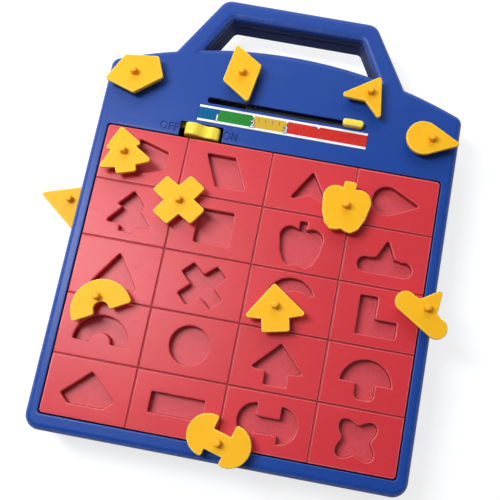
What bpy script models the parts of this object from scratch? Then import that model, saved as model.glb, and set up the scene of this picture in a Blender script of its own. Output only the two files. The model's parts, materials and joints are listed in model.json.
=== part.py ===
"""A pop-up shape timer game, made of separate named pieces.

Twenty shapes go into a sprung tray before the time runs out, and then a latch lets the tray jump up.
Metres, +Z up. The origin lies on the flat back under the middle of the tray, and +Y points to the
handle. The object is at rest: time is up, the tray is up and the shapes lie about.
"""

import math

import bmesh
import bpy
from mathutils import Matrix

MM = 0.001

# Fits that many pieces share
GAP = 0.3 * MM
OVERRUN = 1.0 * MM
WELD_REACH = 0.0003 * MM
ARC_STEP_DEG = 24.0
SQUARED_CORNER_DEG = 75.0
SMOOTH_EDGE_DEG = 35.0
ROUND_SIDES = 12
FINE_SIDES = 10
WALL = 2.5 * MM

# The tray and its cups
TRAY_HALF_WIDTH = 107.7 * MM
TRAY_HALF_DEPTH = 92.45 * MM
TRAY_CORNER_RADIUS = 4.0 * MM
TRAY_RUNNING_GAP = 1.2 * MM
TRAY_PLATE = 2.2 * MM
TRAY_SKIRT_WALL = 2.0 * MM
TRAY_SKIRT_DEPTH = 14.0 * MM
TRAY_TRAVEL = 8.0 * MM
COLUMN_PITCH_SHARE = 0.5107
ROW_PITCH_SHARE = 0.40584
GROOVE_WIDTH = 1.2 * MM
GROOVE_DEPTH = 0.7 * MM
RECESS_DEPTH = 6.0 * MM
CUP_WALL = 1.6 * MM
STOP_RIB_WALL = 1.6 * MM
STOP_TAB_THICKNESS = 2.0 * MM
STOP_TAB_LENGTH = 20.0 * MM
STOP_TAB_REACH = 4.8 * MM
SIDE_TAB_PLACE_SHARE = 0.541
FRONT_TAB_PLACE_SHARE = 0.446
REAR_TAB_PLACE_SHARES = (0.19, 0.789)

# The loose shapes
SHAPE_REACH_SHARE = 0.42644
FLANGE_LIP = 1.6 * MM
FLANGE_THICKNESS = 2.6 * MM
PLUG_CLEARANCE = 0.4 * MM
PLUG_SHORTNESS = 0.6 * MM
KNOB_RADIUS = 2.25 * MM
KNOB_HEIGHT = 5.0 * MM
LOOSE_SPACE = 4.8 * MM

# The case round the tray, two shells that meet at the parting height
SIDE_RIM = 7.1 * MM
RIM_RADIUS = 4.0 * MM
FOOT_RADIUS = 1.5 * MM
RIM_STEPS = 3
CREST_STEPS = 12
CREST_RADIUS_SHARE = 2.62069
FRONT_CORNER_RADIUS = 9.5 * MM
SHOULDER_RADIUS = 6.0 * MM
TOP_SHELL_DEPTH = 12.0 * MM

# The handle, flush with the top of the case and thinner than it
HANDLE_BASE_SHARE = 0.65517
HANDLE_TOP_SHARE = 0.43966
HANDLE_REACH = 32.5 * MM
HANDLE_BAR = 13.1 * MM
HANDLE_LEG_BASE = 18.6 * MM
HANDLE_LEG_TOP = 7.5 * MM
HANDLE_THICKNESS = 24.0 * MM
HANDLE_CORNER_RADIUS = 9.0 * MM
HANDLE_FOOT_RADIUS = 3.0 * MM
HANDLE_ROOT_DEPTH = 16.0 * MM
GRIP_CORNER_RADIUS = 4.0 * MM

# The slot, the scale and the pointer
SLOT_LENGTH = 102.7 * MM
SLOT_MIDDLE = 2.85 * MM
SLOT_BEHIND_WINDOW = 26.65 * MM
SLOT_WIDTH = 4.2 * MM
SLOT_CORNER_RADIUS = 1.8 * MM
SCALE_BEFORE_SLOT = 15.0 * MM
SCALE_DEPTH = 11.1 * MM
SCALE_PAST_LEFT = 4.2 * MM
SCALE_PAST_RIGHT = 3.2 * MM
SCALE_THICKNESS = 0.8 * MM
SCALE_SUNK = 0.6 * MM
POINTER_LENGTH = 13.5 * MM
POINTER_WIDTH = 4.7 * MM
POINTER_HEIGHT = 4.5 * MM
POINTER_RIM_RADIUS = 1.2 * MM
POINTER_END_CLEARANCE = 0.7 * MM
POINTER_FAR_CLEARANCE = 0.5 * MM
POINTER_STEM_LENGTH = 6.0 * MM
POINTER_STEM_WIDTH = 2.0 * MM

# The rack, with teeth to the rear and an inclined groove underneath
RACK_MODULE = 1.0 * MM
RACK_THICKNESS = 4.0 * MM
RACK_PITCH_BEHIND_SLOT = 3.7 * MM
RACK_BEFORE_SLOT = 9.9 * MM
RACK_SPARE_LENGTH = 12.0 * MM
RACK_SOCKET_DEPTH = 1.7 * MM
RACK_GROOVE_DEPTH = 2.3 * MM
RACK_GROOVE_END = 3.0 * MM
RACK_HEADROOM = 3.5 * MM
RACK_GUIDE_LENGTH = 34.0 * MM
RACK_PAD_WIDTH = 2.2 * MM
RACK_PAD_LENGTH = 11.0 * MM

# The gear train. Each later arbor stands at its wheels' distance, in a chosen direction
TOOTH_THINNING = 0.12 * MM
ADDENDUM_SHARE = 0.8
DEDENDUM_SHARE = 1.1
FLANK_SHARE = 0.36
RACK_PINION_TEETH = 24
GREAT_WHEEL_TEETH = 40
SECOND_PINION_TEETH = 10
SECOND_WHEEL_TEETH = 36
ESCAPE_PINION_TEETH = 9
ESCAPE_WHEEL_TEETH = 15
FINE_MODULE = 0.8 * MM
WINDING_ARBOR_X = -18.0 * MM
SECOND_ARBOR_DIRECTION_DEG = 195.1
ESCAPE_ARBOR_DIRECTION_DEG = 205.0
ESCAPE_WHEEL_RADIUS = 7.5 * MM
ESCAPE_TOOTH_DEPTH = 2.0 * MM
ESCAPE_TOOTH_SHARES = ((0.0, 0.0), (0.34, 1.0), (0.44, 0.0))
ARBOR_RADIUS = 2.0 * MM
FINE_ARBOR_RADIUS = 1.6 * MM
PIVOT_RADIUS = 1.0 * MM
PIVOT_REACH = 0.8 * MM
GREAT_WHEEL_THICKNESS = 2.5 * MM
GREAT_WHEEL_CLEARANCE = 1.5 * MM
PINION_OVERLAP = 0.5 * MM
WHEEL_SPACE = 3.5 * MM
WHEEL_CLEARANCE = 1.0 * MM
SECOND_WHEEL_THICKNESS = 1.5 * MM
SECOND_WHEEL_HEADROOM = 1.5 * MM
ESCAPE_WHEEL_THICKNESS = 1.2 * MM
PALLET_DISTANCE = 10.5 * MM
PALLET_TIP_CLEARANCE = 0.5 * MM
PALLET_SPREAD_DEG = 50.0
PALLET_ARM_WIDTH = 1.6 * MM
PALLET_HUB_RADIUS = 2.4 * MM
PALLET_TAIL_LENGTH = 6.6 * MM
PALLET_TAIL_THICKNESS = 2.2 * MM

# The mainspring
SPRING_INNER_RADIUS = 3.0 * MM
SPRING_OUTER_RADIUS = 17.4 * MM
SPRING_STRIP = 0.45 * MM
SPRING_HEIGHT = 8.7 * MM
SPRING_TURNS = 6
SPRING_TURN_POINTS = 12
SPRING_POST_RADIUS = 1.5 * MM

# The movement's plates, pillars and screws
PLATE_PAST_ARBOR = 36.0 * MM
PLATE_PAST_ESCAPE = 21.55 * MM
PLATE_BEFORE_SLOT = 13.3 * MM
PLATE_BEHIND_ARBOR = 10.0 * MM
PLATE_CORNER_RADIUS = 4.0 * MM
PLATE_ABOVE_FLOOR = 1.5 * MM
PLATE_THICKNESS = 2.0 * MM
PILLAR_RADIUS = 3.0 * MM
PILLAR_INSET = 4.5 * MM
FOOT_BOSS_RADIUS = 4.0 * MM
SMALL_SCREW_RADIUS = 1.0 * MM
SMALL_HEAD_RADIUS = 2.2 * MM
SMALL_HEAD_HEIGHT = 1.5 * MM
SMALL_SCREW_LENGTH = 8.0 * MM
BASE_SCREW_LENGTH = 4.6 * MM

# The latch and the tray's catch
LATCH_WIDTH = 12.0 * MM
LATCH_THICKNESS = 2.4 * MM
LATCH_TRAVEL = 4.0 * MM
LATCH_SPACE = 1.0 * MM
LATCH_TAIL = 2.5 * MM
LATCH_PIN_RADIUS = 1.5 * MM
LATCH_PIN_BEFORE_SLOT = 3.3 * MM
LATCH_RAIL_WIDTH = 2.0 * MM
CATCH_REACH = 4.15 * MM
CATCH_WIDTH = 10.0 * MM
CATCH_THICKNESS = 2.0 * MM
CATCH_UNDER_LATCH = 0.4 * MM
KEEPER_DEPTH = 6.0 * MM
REST_RIB_WALL = 2.0 * MM
REST_RIB_LENGTH = 6.0 * MM
RACK_REST_RIGHT_SHARE = 0.5345
RACK_REST_LEFT_SHARE = 0.8362

# The switch
SWITCH_MIDDLE = -48.35 * MM
SWITCH_END_GAP = 2.65 * MM
SWITCH_DEPTH = 9.55 * MM
ROCKER_LENGTH = 22.8 * MM
ROCKER_FRONT_GAP = 0.75 * MM
ROCKER_REAR_GAP = 0.6 * MM
ROCKER_AXIS_DEPTH = 6.0 * MM
ROCKER_TOP = 6.6 * MM
ROCKER_DIP = 1.6 * MM
ROCKER_BOTTOM = 3.0 * MM
ROCKER_TILT_DEG = 7.0
ROCKER_TOP_STEPS = 10
ROCKER_FRONT_WALL = 1.1 * MM
ROCKER_END_CUT = 2.5 * MM
ROCKER_BELLY_SHARE = 0.45
SWITCH_PIN_RADIUS = 1.0 * MM
SWITCH_PIN_LENGTH = 10.4 * MM
SWITCH_BOSS_WIDTH = 6.0 * MM
SWITCH_BOSS_DEPTH = 4.0 * MM
FINGER_SPACE = 2.6 * MM
FINGER_WIDTH = 1.5 * MM
FINGER_REACH = 3.4 * MM
FINGER_DROP = 8.6 * MM

# The tray springs and their spigots
COIL_RADIUS = 5.2 * MM
COIL_WIRE_RADIUS = 0.5 * MM
COIL_TURNS = 6
COIL_TURN_POINTS = 8
SPIGOT_RADIUS = 4.0 * MM
SPIGOT_HEIGHT = 5.0 * MM

# The case screws, from below
SCREW_RADIUS = 1.3 * MM
SCREW_HEAD_RADIUS = 2.6 * MM
SCREW_HEAD_HEIGHT = 1.8 * MM
SCREW_SEAT = 12.0 * MM
HANDLE_SCREW_DEPTH = 4.0 * MM
SCREW_ABOVE = 4.0 * MM
LOWER_BOSS_RADIUS = 3.9 * MM
UPPER_BOSS_RADIUS = 3.2 * MM
BOSS_ROOF = 1.0 * MM
SCREW_WINDOW_SPACE = 0.45 * MM
FRONT_SCREW_DEPTH = 5.0 * MM
FRONT_SCREW_INSET = 21.0 * MM
MIDDLE_SCREW_INSET = 12.0 * MM
MIDDLE_SCREW_BEHIND_WINDOW = 10.35 * MM
REAR_SCREW_INSET = 18.0 * MM
REAR_SCREW_DROP_SHARE = 0.2224

# Heights that follow, from the floor up to the top face
BASE_PLATE_LOW = WALL + PLATE_ABOVE_FLOOR
BASE_PLATE_TOP = BASE_PLATE_LOW + PLATE_THICKNESS
SPRING_TOP = BASE_PLATE_TOP + GAP + SPRING_HEIGHT
GREAT_WHEEL_LOW = SPRING_TOP + WHEEL_CLEARANCE
SECOND_PINION_LOW = GREAT_WHEEL_LOW - PINION_OVERLAP
SECOND_WHEEL_LOW = GREAT_WHEEL_LOW + GREAT_WHEEL_THICKNESS + WHEEL_SPACE
ESCAPE_WHEEL_LOW = GREAT_WHEEL_LOW + WHEEL_CLEARANCE
ESCAPE_PINION_TOP = SECOND_WHEEL_LOW + SECOND_WHEEL_THICKNESS + PINION_OVERLAP
PALLET_TAIL_TOP = SECOND_WHEEL_LOW + PALLET_TAIL_THICKNESS
TOP_PLATE_LOW = SECOND_WHEEL_LOW + SECOND_WHEEL_THICKNESS + SECOND_WHEEL_HEADROOM
TOP_PLATE_TOP = TOP_PLATE_LOW + PLATE_THICKNESS
LATCH_LOW = TOP_PLATE_TOP + GAP
LATCH_TOP = LATCH_LOW + LATCH_THICKNESS
RACK_LOW = LATCH_TOP + GAP
RACK_TOP = RACK_LOW + RACK_THICKNESS
CEILING = RACK_TOP + RACK_HEADROOM
CASE_HEIGHT = CEILING + WALL
PARTING_HEIGHT = CASE_HEIGHT - TOP_SHELL_DEPTH
LOWER_TOP = PARTING_HEIGHT - GAP
HANDLE_LOW = CASE_HEIGHT - HANDLE_THICKNESS
HANDLE_SCREW_SEAT = HANDLE_LOW + HANDLE_SCREW_DEPTH
SCREW_END = CASE_HEIGHT - SCREW_ABOVE
RECESS_FLOOR = CASE_HEIGHT - RECESS_DEPTH
CUP_BOTTOM = RECESS_FLOOR - CUP_WALL
SKIRT_BOTTOM = CASE_HEIGHT - TRAY_SKIRT_DEPTH
STOP_TAB_TOP = SKIRT_BOTTOM + OVERRUN + STOP_TAB_THICKNESS
STOP_RIB_LOW = STOP_TAB_TOP + GAP
ROOTS = CEILING + OVERRUN
CATCH_TOP = LATCH_LOW - CATCH_UNDER_LATCH + TRAY_TRAVEL
ROCKER_AXIS_HEIGHT = CASE_HEIGHT - ROCKER_AXIS_DEPTH
PLUG_DEPTH = RECESS_DEPTH - PLUG_SHORTNESS

# Places that follow, from the tray outwards
COLUMN_PITCH = COLUMN_PITCH_SHARE * TRAY_HALF_WIDTH
ROW_PITCH = ROW_PITCH_SHARE * TRAY_HALF_DEPTH
SHAPE_REACH = SHAPE_REACH_SHARE * min(ROW_PITCH, COLUMN_PITCH)
PIECE_PITCH = 2 * (SHAPE_REACH + FLANGE_LIP) + LOOSE_SPACE
WINDOW_HALF_WIDTH = TRAY_HALF_WIDTH + TRAY_RUNNING_GAP
WINDOW_HALF_DEPTH = TRAY_HALF_DEPTH + TRAY_RUNNING_GAP
SIDE_TAB_PLACE = SIDE_TAB_PLACE_SHARE * TRAY_HALF_DEPTH
FRONT_TAB_PLACE = FRONT_TAB_PLACE_SHARE * TRAY_HALF_WIDTH
REAR_TAB_PLACES = [share * TRAY_HALF_WIDTH for share in REAR_TAB_PLACE_SHARES]
CASE_HALF_WIDTH = WINDOW_HALF_WIDTH + SIDE_RIM
FRONT_SCREW_Y = -(WINDOW_HALF_DEPTH + SCREW_WINDOW_SPACE + LOWER_BOSS_RADIUS)
CASE_FRONT = FRONT_SCREW_DEPTH - FRONT_SCREW_Y
SLOT_LEFT = SLOT_MIDDLE - SLOT_LENGTH / 2
SLOT_RIGHT = SLOT_MIDDLE + SLOT_LENGTH / 2
SLOT_PLACE = WINDOW_HALF_DEPTH + SLOT_BEHIND_WINDOW
SCALE_LEFT = SLOT_LEFT - SCALE_PAST_LEFT
SCALE_RIGHT = SLOT_RIGHT + SCALE_PAST_RIGHT
SCALE_FRONT = SLOT_PLACE - SCALE_BEFORE_SLOT
SCALE_REAR = SCALE_FRONT + SCALE_DEPTH
POINTER_X = SLOT_RIGHT - POINTER_END_CLEARANCE - POINTER_LENGTH / 2
POINTER_TRAVEL = SLOT_LENGTH - POINTER_LENGTH - POINTER_END_CLEARANCE - POINTER_FAR_CLEARANCE
RACK_PITCH_LINE = SLOT_PLACE + RACK_PITCH_BEHIND_SLOT
RACK_FRONT = SLOT_PLACE - RACK_BEFORE_SLOT
RACK_LEFT = WINDING_ARBOR_X - RACK_SPARE_LENGTH / 2
RACK_LENGTH = POINTER_TRAVEL + RACK_SPARE_LENGTH
RACK_ROOT = RACK_PITCH_LINE - DEDENDUM_SHARE * RACK_MODULE
RACK_REST_RIGHT = RACK_REST_RIGHT_SHARE * CASE_HALF_WIDTH
RACK_REST_LEFT = -RACK_REST_LEFT_SHARE * CASE_HALF_WIDTH
CAM_SLOPE = LATCH_TRAVEL / POINTER_TRAVEL
LATCH_TIP = TRAY_HALF_DEPTH + CATCH_REACH + LATCH_SPACE
LATCH_RIB_PLACE = LATCH_TIP + KEEPER_DEPTH / 4
LATCH_PIN_PLACE = SLOT_PLACE - LATCH_PIN_BEFORE_SLOT
SWITCH_REAR = WINDOW_HALF_DEPTH + SWITCH_DEPTH
SWITCH_LEFT = SWITCH_MIDDLE - ROCKER_LENGTH / 2 - SWITCH_END_GAP
SWITCH_RIGHT = SWITCH_MIDDLE + ROCKER_LENGTH / 2 + SWITCH_END_GAP
ROCKER_X = SWITCH_MIDDLE + GAP
ROCKER_FRONT = WINDOW_HALF_DEPTH + ROCKER_FRONT_GAP
ROCKER_REAR = SWITCH_REAR - ROCKER_REAR_GAP
FINGER_PLACE = ROCKER_LENGTH / 2 + FINGER_SPACE
WINDING_ARBOR = (WINDING_ARBOR_X, RACK_PITCH_LINE + RACK_PINION_TEETH * RACK_MODULE / 2)
GREAT_WHEEL_REACH = (GREAT_WHEEL_TEETH / 2 + ADDENDUM_SHARE) * RACK_MODULE
SECOND_DIRECTION = math.radians(SECOND_ARBOR_DIRECTION_DEG)
ESCAPE_DIRECTION = math.radians(ESCAPE_ARBOR_DIRECTION_DEG)
SECOND_DISTANCE = (GREAT_WHEEL_TEETH + SECOND_PINION_TEETH) * RACK_MODULE / 2
ESCAPE_DISTANCE = (SECOND_WHEEL_TEETH + ESCAPE_PINION_TEETH) * FINE_MODULE / 2
SECOND_ARBOR = (
    WINDING_ARBOR[0] + SECOND_DISTANCE * math.cos(SECOND_DIRECTION),
    WINDING_ARBOR[1] + SECOND_DISTANCE * math.sin(SECOND_DIRECTION),
)
ESCAPE_ARBOR = (
    SECOND_ARBOR[0] + ESCAPE_DISTANCE * math.cos(ESCAPE_DIRECTION),
    SECOND_ARBOR[1] + ESCAPE_DISTANCE * math.sin(ESCAPE_DIRECTION),
)
PALLET_ARBOR = (ESCAPE_ARBOR[0], ESCAPE_ARBOR[1] - PALLET_DISTANCE)
SPRING_POST = (
    WINDING_ARBOR[0] + SPRING_OUTER_RADIUS + SPRING_STRIP / 2 + GAP + SPRING_POST_RADIUS, WINDING_ARBOR[1],
)
CASE_CREST = WINDING_ARBOR[1] + GREAT_WHEEL_REACH + GREAT_WHEEL_CLEARANCE + WALL
CREST_RADIUS = CREST_RADIUS_SHARE * CASE_HALF_WIDTH
PANEL_DEPTH = CASE_CREST - WINDOW_HALF_DEPTH
PLATE_LEFT = ESCAPE_ARBOR[0] - PLATE_PAST_ESCAPE
PLATE_RIGHT = WINDING_ARBOR[0] + PLATE_PAST_ARBOR
PLATE_FRONT = SLOT_PLACE - PLATE_BEFORE_SLOT
PLATE_REAR = WINDING_ARBOR[1] + PLATE_BEHIND_ARBOR
HANDLE_BASE_HALF = HANDLE_BASE_SHARE * CASE_HALF_WIDTH
HANDLE_TOP_HALF = HANDLE_TOP_SHARE * CASE_HALF_WIDTH
HANDLE_END = CASE_CREST + HANDLE_REACH
GRIP_BASE_HALF = HANDLE_BASE_HALF - HANDLE_LEG_BASE
GRIP_TOP_HALF = HANDLE_TOP_HALF - HANDLE_LEG_TOP
GRIP_END = HANDLE_END - HANDLE_BAR
FRONT_SCREW_X = CASE_HALF_WIDTH - FRONT_SCREW_INSET
MIDDLE_SCREW_X = CASE_HALF_WIDTH - MIDDLE_SCREW_INSET
MIDDLE_SCREW_Y = WINDOW_HALF_DEPTH + MIDDLE_SCREW_BEHIND_WINDOW
REAR_SCREW_X = CASE_HALF_WIDTH - REAR_SCREW_INSET
REAR_SCREW_Y = CASE_CREST - REAR_SCREW_DROP_SHARE * CASE_HALF_WIDTH
HANDLE_SCREW_X = (GRIP_TOP_HALF + HANDLE_TOP_HALF) / 2
HANDLE_SCREW_Y = (GRIP_END + HANDLE_END) / 2
PILLARS = [
    (x, y)
    for x in (PLATE_LEFT + PILLAR_INSET, PLATE_RIGHT - PILLAR_INSET)
    for y in (PLATE_FRONT + PILLAR_INSET, PLATE_REAR - PILLAR_INSET)
]
BASE_SCREWS = [(PLATE_LEFT + PILLAR_INSET, RACK_PITCH_LINE), (PLATE_RIGHT - PILLAR_INSET, RACK_PITCH_LINE)]
CASE_SCREWS = [
    (-FRONT_SCREW_X, FRONT_SCREW_Y, SCREW_SEAT),
    (0, FRONT_SCREW_Y, SCREW_SEAT),
    (FRONT_SCREW_X, FRONT_SCREW_Y, SCREW_SEAT),
    (-MIDDLE_SCREW_X, MIDDLE_SCREW_Y, SCREW_SEAT),
    (MIDDLE_SCREW_X, MIDDLE_SCREW_Y, SCREW_SEAT),
    (-REAR_SCREW_X, REAR_SCREW_Y, SCREW_SEAT),
    (REAR_SCREW_X, REAR_SCREW_Y, SCREW_SEAT),
    (-HANDLE_SCREW_X, HANDLE_SCREW_Y, HANDLE_SCREW_SEAT),
    (HANDLE_SCREW_X, HANDLE_SCREW_Y, HANDLE_SCREW_SEAT),
]
COLUMN_EDGES = (-TRAY_HALF_WIDTH, -COLUMN_PITCH, 0, COLUMN_PITCH, TRAY_HALF_WIDTH)
ROW_EDGES = (
    TRAY_HALF_DEPTH, 1.5 * ROW_PITCH, 0.5 * ROW_PITCH, -0.5 * ROW_PITCH, -1.5 * ROW_PITCH, -TRAY_HALF_DEPTH,
)

# Outlines in shares of the reach: a pair is a corner, and five numbers are an arc's centre, radius and
# its two angles in degrees. The mirrored ones are right halves, from top to bottom.
WHOLE_OUTLINE_SHARES = {
    "pentagon": ((0.98, 0.39), (-0.20, 0.73), (-1.06, 0.0), (-0.20, -0.73), (0.98, -0.39)),
    "parallelogram": ((-0.88, 0.66), (-0.29, -0.66), (0.88, -0.66), (0.29, 0.66)),
    "teardrop": ((-0.31, 0.0, 0.59, 63, 297), (1.0, 0.0)),
    "saltire": (
        (0.44, 0.0), (0.88, 0.43), (0.46, 0.84), (0.0, 0.44), (-0.46, 0.84), (-0.88, 0.43),
        (-0.44, 0.0), (-0.88, -0.43), (-0.46, -0.84), (0.0, -0.44), (0.46, -0.84), (0.88, -0.43),
    ),
    "crescent": ((0.0, 0.0, 0.94, 24, 224), (0.23, -0.34, 0.81, 193, 55)),
    "ell": ((-0.72, 0.80), (-0.72, -0.73), (0.83, -0.73), (0.83, -0.07), (-0.03, -0.07), (-0.03, 0.80)),
    "arch": ((0.0, -0.52, 1.06, 0, 180), (0.0, -0.52, 0.40, 180, 0)),
    "circle": ((0.0, 0.0, 0.76, 0, 337.5),),
}
MIRRORED_OUTLINE_SHARES = {
    "chevron": ((0.0, 0.66), (0.78, -0.62), (0.0, -0.31)),
    "fir": ((0.0, 0.89), (0.56, 0.25), (0.31, 0.20), (0.88, -0.48), (0.30, -0.54), (0.30, -0.79)),
    "square": ((0.70, 0.70), (0.70, -0.70)),
    "apple": (
        (0.15, 0.88), (0.15, 0.56), (0.44, 0.22, 0.41, 110, 0), (0.76, -0.36), (0.58, -0.78),
        (0.38, -0.94), (0.20, -0.92), (0.0, -0.84),
    ),
    "tri_lobe": ((0.0, 0.50, 0.25, 90, 10), (0.36, 0.01), (0.76, -0.34, 0.31, 110, -90)),
    "triangle": ((0.0, 0.69), (0.91, -0.66)),
    "arrow": ((0.0, 0.72), (1.0, -0.34), (0.43, -0.41), (0.43, -0.91)),
    "mushroom": ((0.0, -0.28, 0.99, 90, 5), (0.375, -0.20), (0.155, -0.60, 0.22, 0, -90)),
    "gem": ((0.0, 0.68), (1.03, -0.28), (0.69, -0.61)),
    "rectangle": ((1.03, 0.39), (1.03, -0.39)),
    "bone": ((0.45, 0.21), (0.45, 0.0, 0.69, 90, -90), (0.45, -0.39)),
}
KNOB_PLACE_SHARES = {"crescent": (-0.38, 0.56), "ell": (-0.38, -0.39), "bone": (0.0, -0.09)}
LOBES = 4
LOBE_POINTS = 24
LOBE_MEAN_SHARE = 0.73
LOBE_WAVE_SHARE = 0.19

# The tray's shapes, row by row from the handle side
TRAY_ROWS = (
    ("pentagon", "parallelogram", "chevron", "teardrop"),
    ("fir", "square", "apple", "tri_lobe"),
    ("triangle", "saltire", "crescent", "ell"),
    ("arch", "circle", "arrow", "mushroom"),
    ("gem", "rectangle", "bone", "quatrefoil"),
)

# Where shapes lie on the tray, in shares of its half sides, and their turn in degrees
TRAY_LYING_SHARES = {
    "saltire": (-0.477, 0.531, 11),
    "apple": (0.474, 0.696, -3),
    "arch": (-0.808, -0.207, 29),
    "arrow": (0.181, -0.053, 12),
    "fir": (-0.854, 0.800, 18),
    "tri_lobe": (1.021, 0.108, -32),
    "bone": (0.019, -0.963, -16),
}
# Those on the timer's panel, in shares of the case's half width and the panel's depth, and their turn
PANEL_LYING_SHARES = {
    "pentagon": (-0.836, 0.497, 23),
    "parallelogram": (-0.250, 0.678, -33),
    "chevron": (0.466, 0.705, -24),
    "teardrop": (0.836, 0.348, -1),
}
# Those on the table, in pitches of a piece rightwards and in front of the case, and their turn
FRONT_LYING_SHARES = {
    "square": (0.12, 1.08, 14),
    "circle": (1.12, 1.08, 0),
    "ell": (2.12, 1.08, -20),
    "rectangle": (3.12, 1.08, 8),
    "mushroom": (0.12, 2.08, -12),
    "gem": (1.12, 2.08, 25),
    "quatrefoil": (2.12, 2.08, 10),
    "crescent": (3.12, 2.08, -30),
}
# The one on the table beside the case, in pitches from its side and in the tray's half depth, and its turn
SIDE_LYING_SHARES = {"triangle": (0.375, 0.50, -38)}


# Outlines

def arc(centre_x, centre_y, radius, start_deg, end_deg):
    """Points along an arc, both ends included."""
    steps = max(1, round(abs(end_deg - start_deg) / ARC_STEP_DEG))
    points = []
    for step in range(steps + 1):
        angle = math.radians(start_deg + (end_deg - start_deg) * step / steps)
        points.append((centre_x + radius * math.cos(angle), centre_y + radius * math.sin(angle)))
    return points


def counterclockwise(points):
    doubled_area = sum(
        x * next_y - next_x * y for (x, y), (next_x, next_y) in zip(points, points[1:] + points[:1])
    )
    return points if doubled_area > 0 else points[::-1]


def from_shares(items):
    """The points of one outline from its corners and arcs."""
    points = []
    for item in items:
        points += [item] if len(item) == 2 else arc(*item)
    return [(SHAPE_REACH * x, SHAPE_REACH * y) for x, y in points]


def quatrefoil_outline():
    points = []
    for step in range(LOBE_POINTS):
        angle = math.tau * step / LOBE_POINTS
        wave = math.cos(LOBES * (angle - math.pi / LOBES))
        radius = SHAPE_REACH * (LOBE_MEAN_SHARE + LOBE_WAVE_SHARE * wave)
        points.append((radius * math.cos(angle), radius * math.sin(angle)))
    return points


def shape_outline(shape):
    """The outline of a shape's recess, round the middle of its tile."""
    if shape == "quatrefoil":
        return quatrefoil_outline()
    if shape in WHOLE_OUTLINE_SHARES:
        return counterclockwise(from_shares(WHOLE_OUTLINE_SHARES[shape]))
    half = from_shares(MIRRORED_OUTLINE_SHARES[shape])
    return counterclockwise(half + [(-x, y) for x, y in reversed(half) if x > WELD_REACH])


def offset_outline(points, distance):
    """A counterclockwise outline moved outwards. A sharp corner is squared off instead of running out."""
    moved = []
    for index, (x, y) in enumerate(points):
        before_x, before_y = points[index - 1]
        after_x, after_y = points[(index + 1) % len(points)]
        arrival = math.atan2(y - before_y, x - before_x)
        departure = math.atan2(after_y - y, after_x - x)
        turn = math.remainder(departure - arrival, math.tau)
        if distance > 0 and turn > math.radians(SQUARED_CORNER_DEG):
            reach = math.tan(turn / 4)
            for direction, side in ((arrival, reach), (departure, -reach)):
                moved.append((
                    x + distance * (math.sin(direction) + side * math.cos(direction)),
                    y + distance * (-math.cos(direction) + side * math.sin(direction)),
                ))
        else:
            middle = arrival + turn / 2
            length = distance / math.cos(turn / 2)
            moved.append((x + length * math.sin(middle), y - length * math.cos(middle)))
    return moved


def rounded_outline(corners):
    """A counterclockwise outline from (x, y, radius) corners, whose round ones become arcs."""
    points = []
    for index, (x, y, radius) in enumerate(corners):
        if radius == 0:
            points.append((x, y))
            continue
        before_x, before_y, _ = corners[index - 1]
        after_x, after_y, _ = corners[(index + 1) % len(corners)]
        arrival = math.atan2(y - before_y, x - before_x)
        departure = math.atan2(after_y - y, after_x - x)
        turn = math.remainder(departure - arrival, math.tau)
        setback = radius * math.tan(abs(turn) / 2)
        side = math.copysign(1, turn)
        centre_x = x - setback * math.cos(arrival) - side * radius * math.sin(arrival)
        centre_y = y - setback * math.sin(arrival) + side * radius * math.cos(arrival)
        start = math.degrees(arrival - side * math.pi / 2)
        points += arc(centre_x, centre_y, radius, start, start + math.degrees(turn))
    return points


def rounded_rectangle(half_width, half_depth, radius):
    return rounded_outline([
        (-half_width, -half_depth, radius), (half_width, -half_depth, radius),
        (half_width, half_depth, radius), (-half_width, half_depth, radius),
    ])


def crest_y(x):
    """The rear edge of the case, a long arc."""
    return CASE_CREST - CREST_RADIUS + math.sqrt(CREST_RADIUS**2 - x**2)


def case_outline():
    """The case without its handle."""
    crest = []
    for step in range(1, CREST_STEPS):
        x = CASE_HALF_WIDTH * (1 - 2 * step / CREST_STEPS)
        crest.append((x, crest_y(x), 0))
    shoulder_y = crest_y(CASE_HALF_WIDTH)
    return rounded_outline([
        (-CASE_HALF_WIDTH, -CASE_FRONT, FRONT_CORNER_RADIUS),
        (CASE_HALF_WIDTH, -CASE_FRONT, FRONT_CORNER_RADIUS),
        (CASE_HALF_WIDTH, shoulder_y, SHOULDER_RADIUS),
        *crest,
        (-CASE_HALF_WIDTH, shoulder_y, SHOULDER_RADIUS),
    ])


def handle_outline():
    """The handle as a block whose root lies inside the case, so its sides run on below the crest."""
    base_y = crest_y(HANDLE_BASE_HALF)
    lean = (HANDLE_BASE_HALF - HANDLE_TOP_HALF) / (HANDLE_END - base_y)
    root_y = base_y - HANDLE_ROOT_DEPTH
    root_half = HANDLE_BASE_HALF + lean * HANDLE_ROOT_DEPTH
    return rounded_outline([
        (-root_half, root_y, 0),
        (root_half, root_y, 0),
        (HANDLE_TOP_HALF, HANDLE_END, HANDLE_CORNER_RADIUS),
        (-HANDLE_TOP_HALF, HANDLE_END, HANDLE_CORNER_RADIUS),
    ])


def grip_outline():
    """The opening in the handle. Its front edge lies inside the case, whose crest then closes it."""
    base_y = crest_y(GRIP_BASE_HALF)
    lean = (GRIP_BASE_HALF - GRIP_TOP_HALF) / (GRIP_END - base_y)
    front_half = GRIP_BASE_HALF + lean * RIM_RADIUS
    return rounded_outline([
        (-front_half, base_y - RIM_RADIUS, 0),
        (front_half, base_y - RIM_RADIUS, 0),
        (GRIP_TOP_HALF, GRIP_END, GRIP_CORNER_RADIUS),
        (-GRIP_TOP_HALF, GRIP_END, GRIP_CORNER_RADIUS),
    ])


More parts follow.
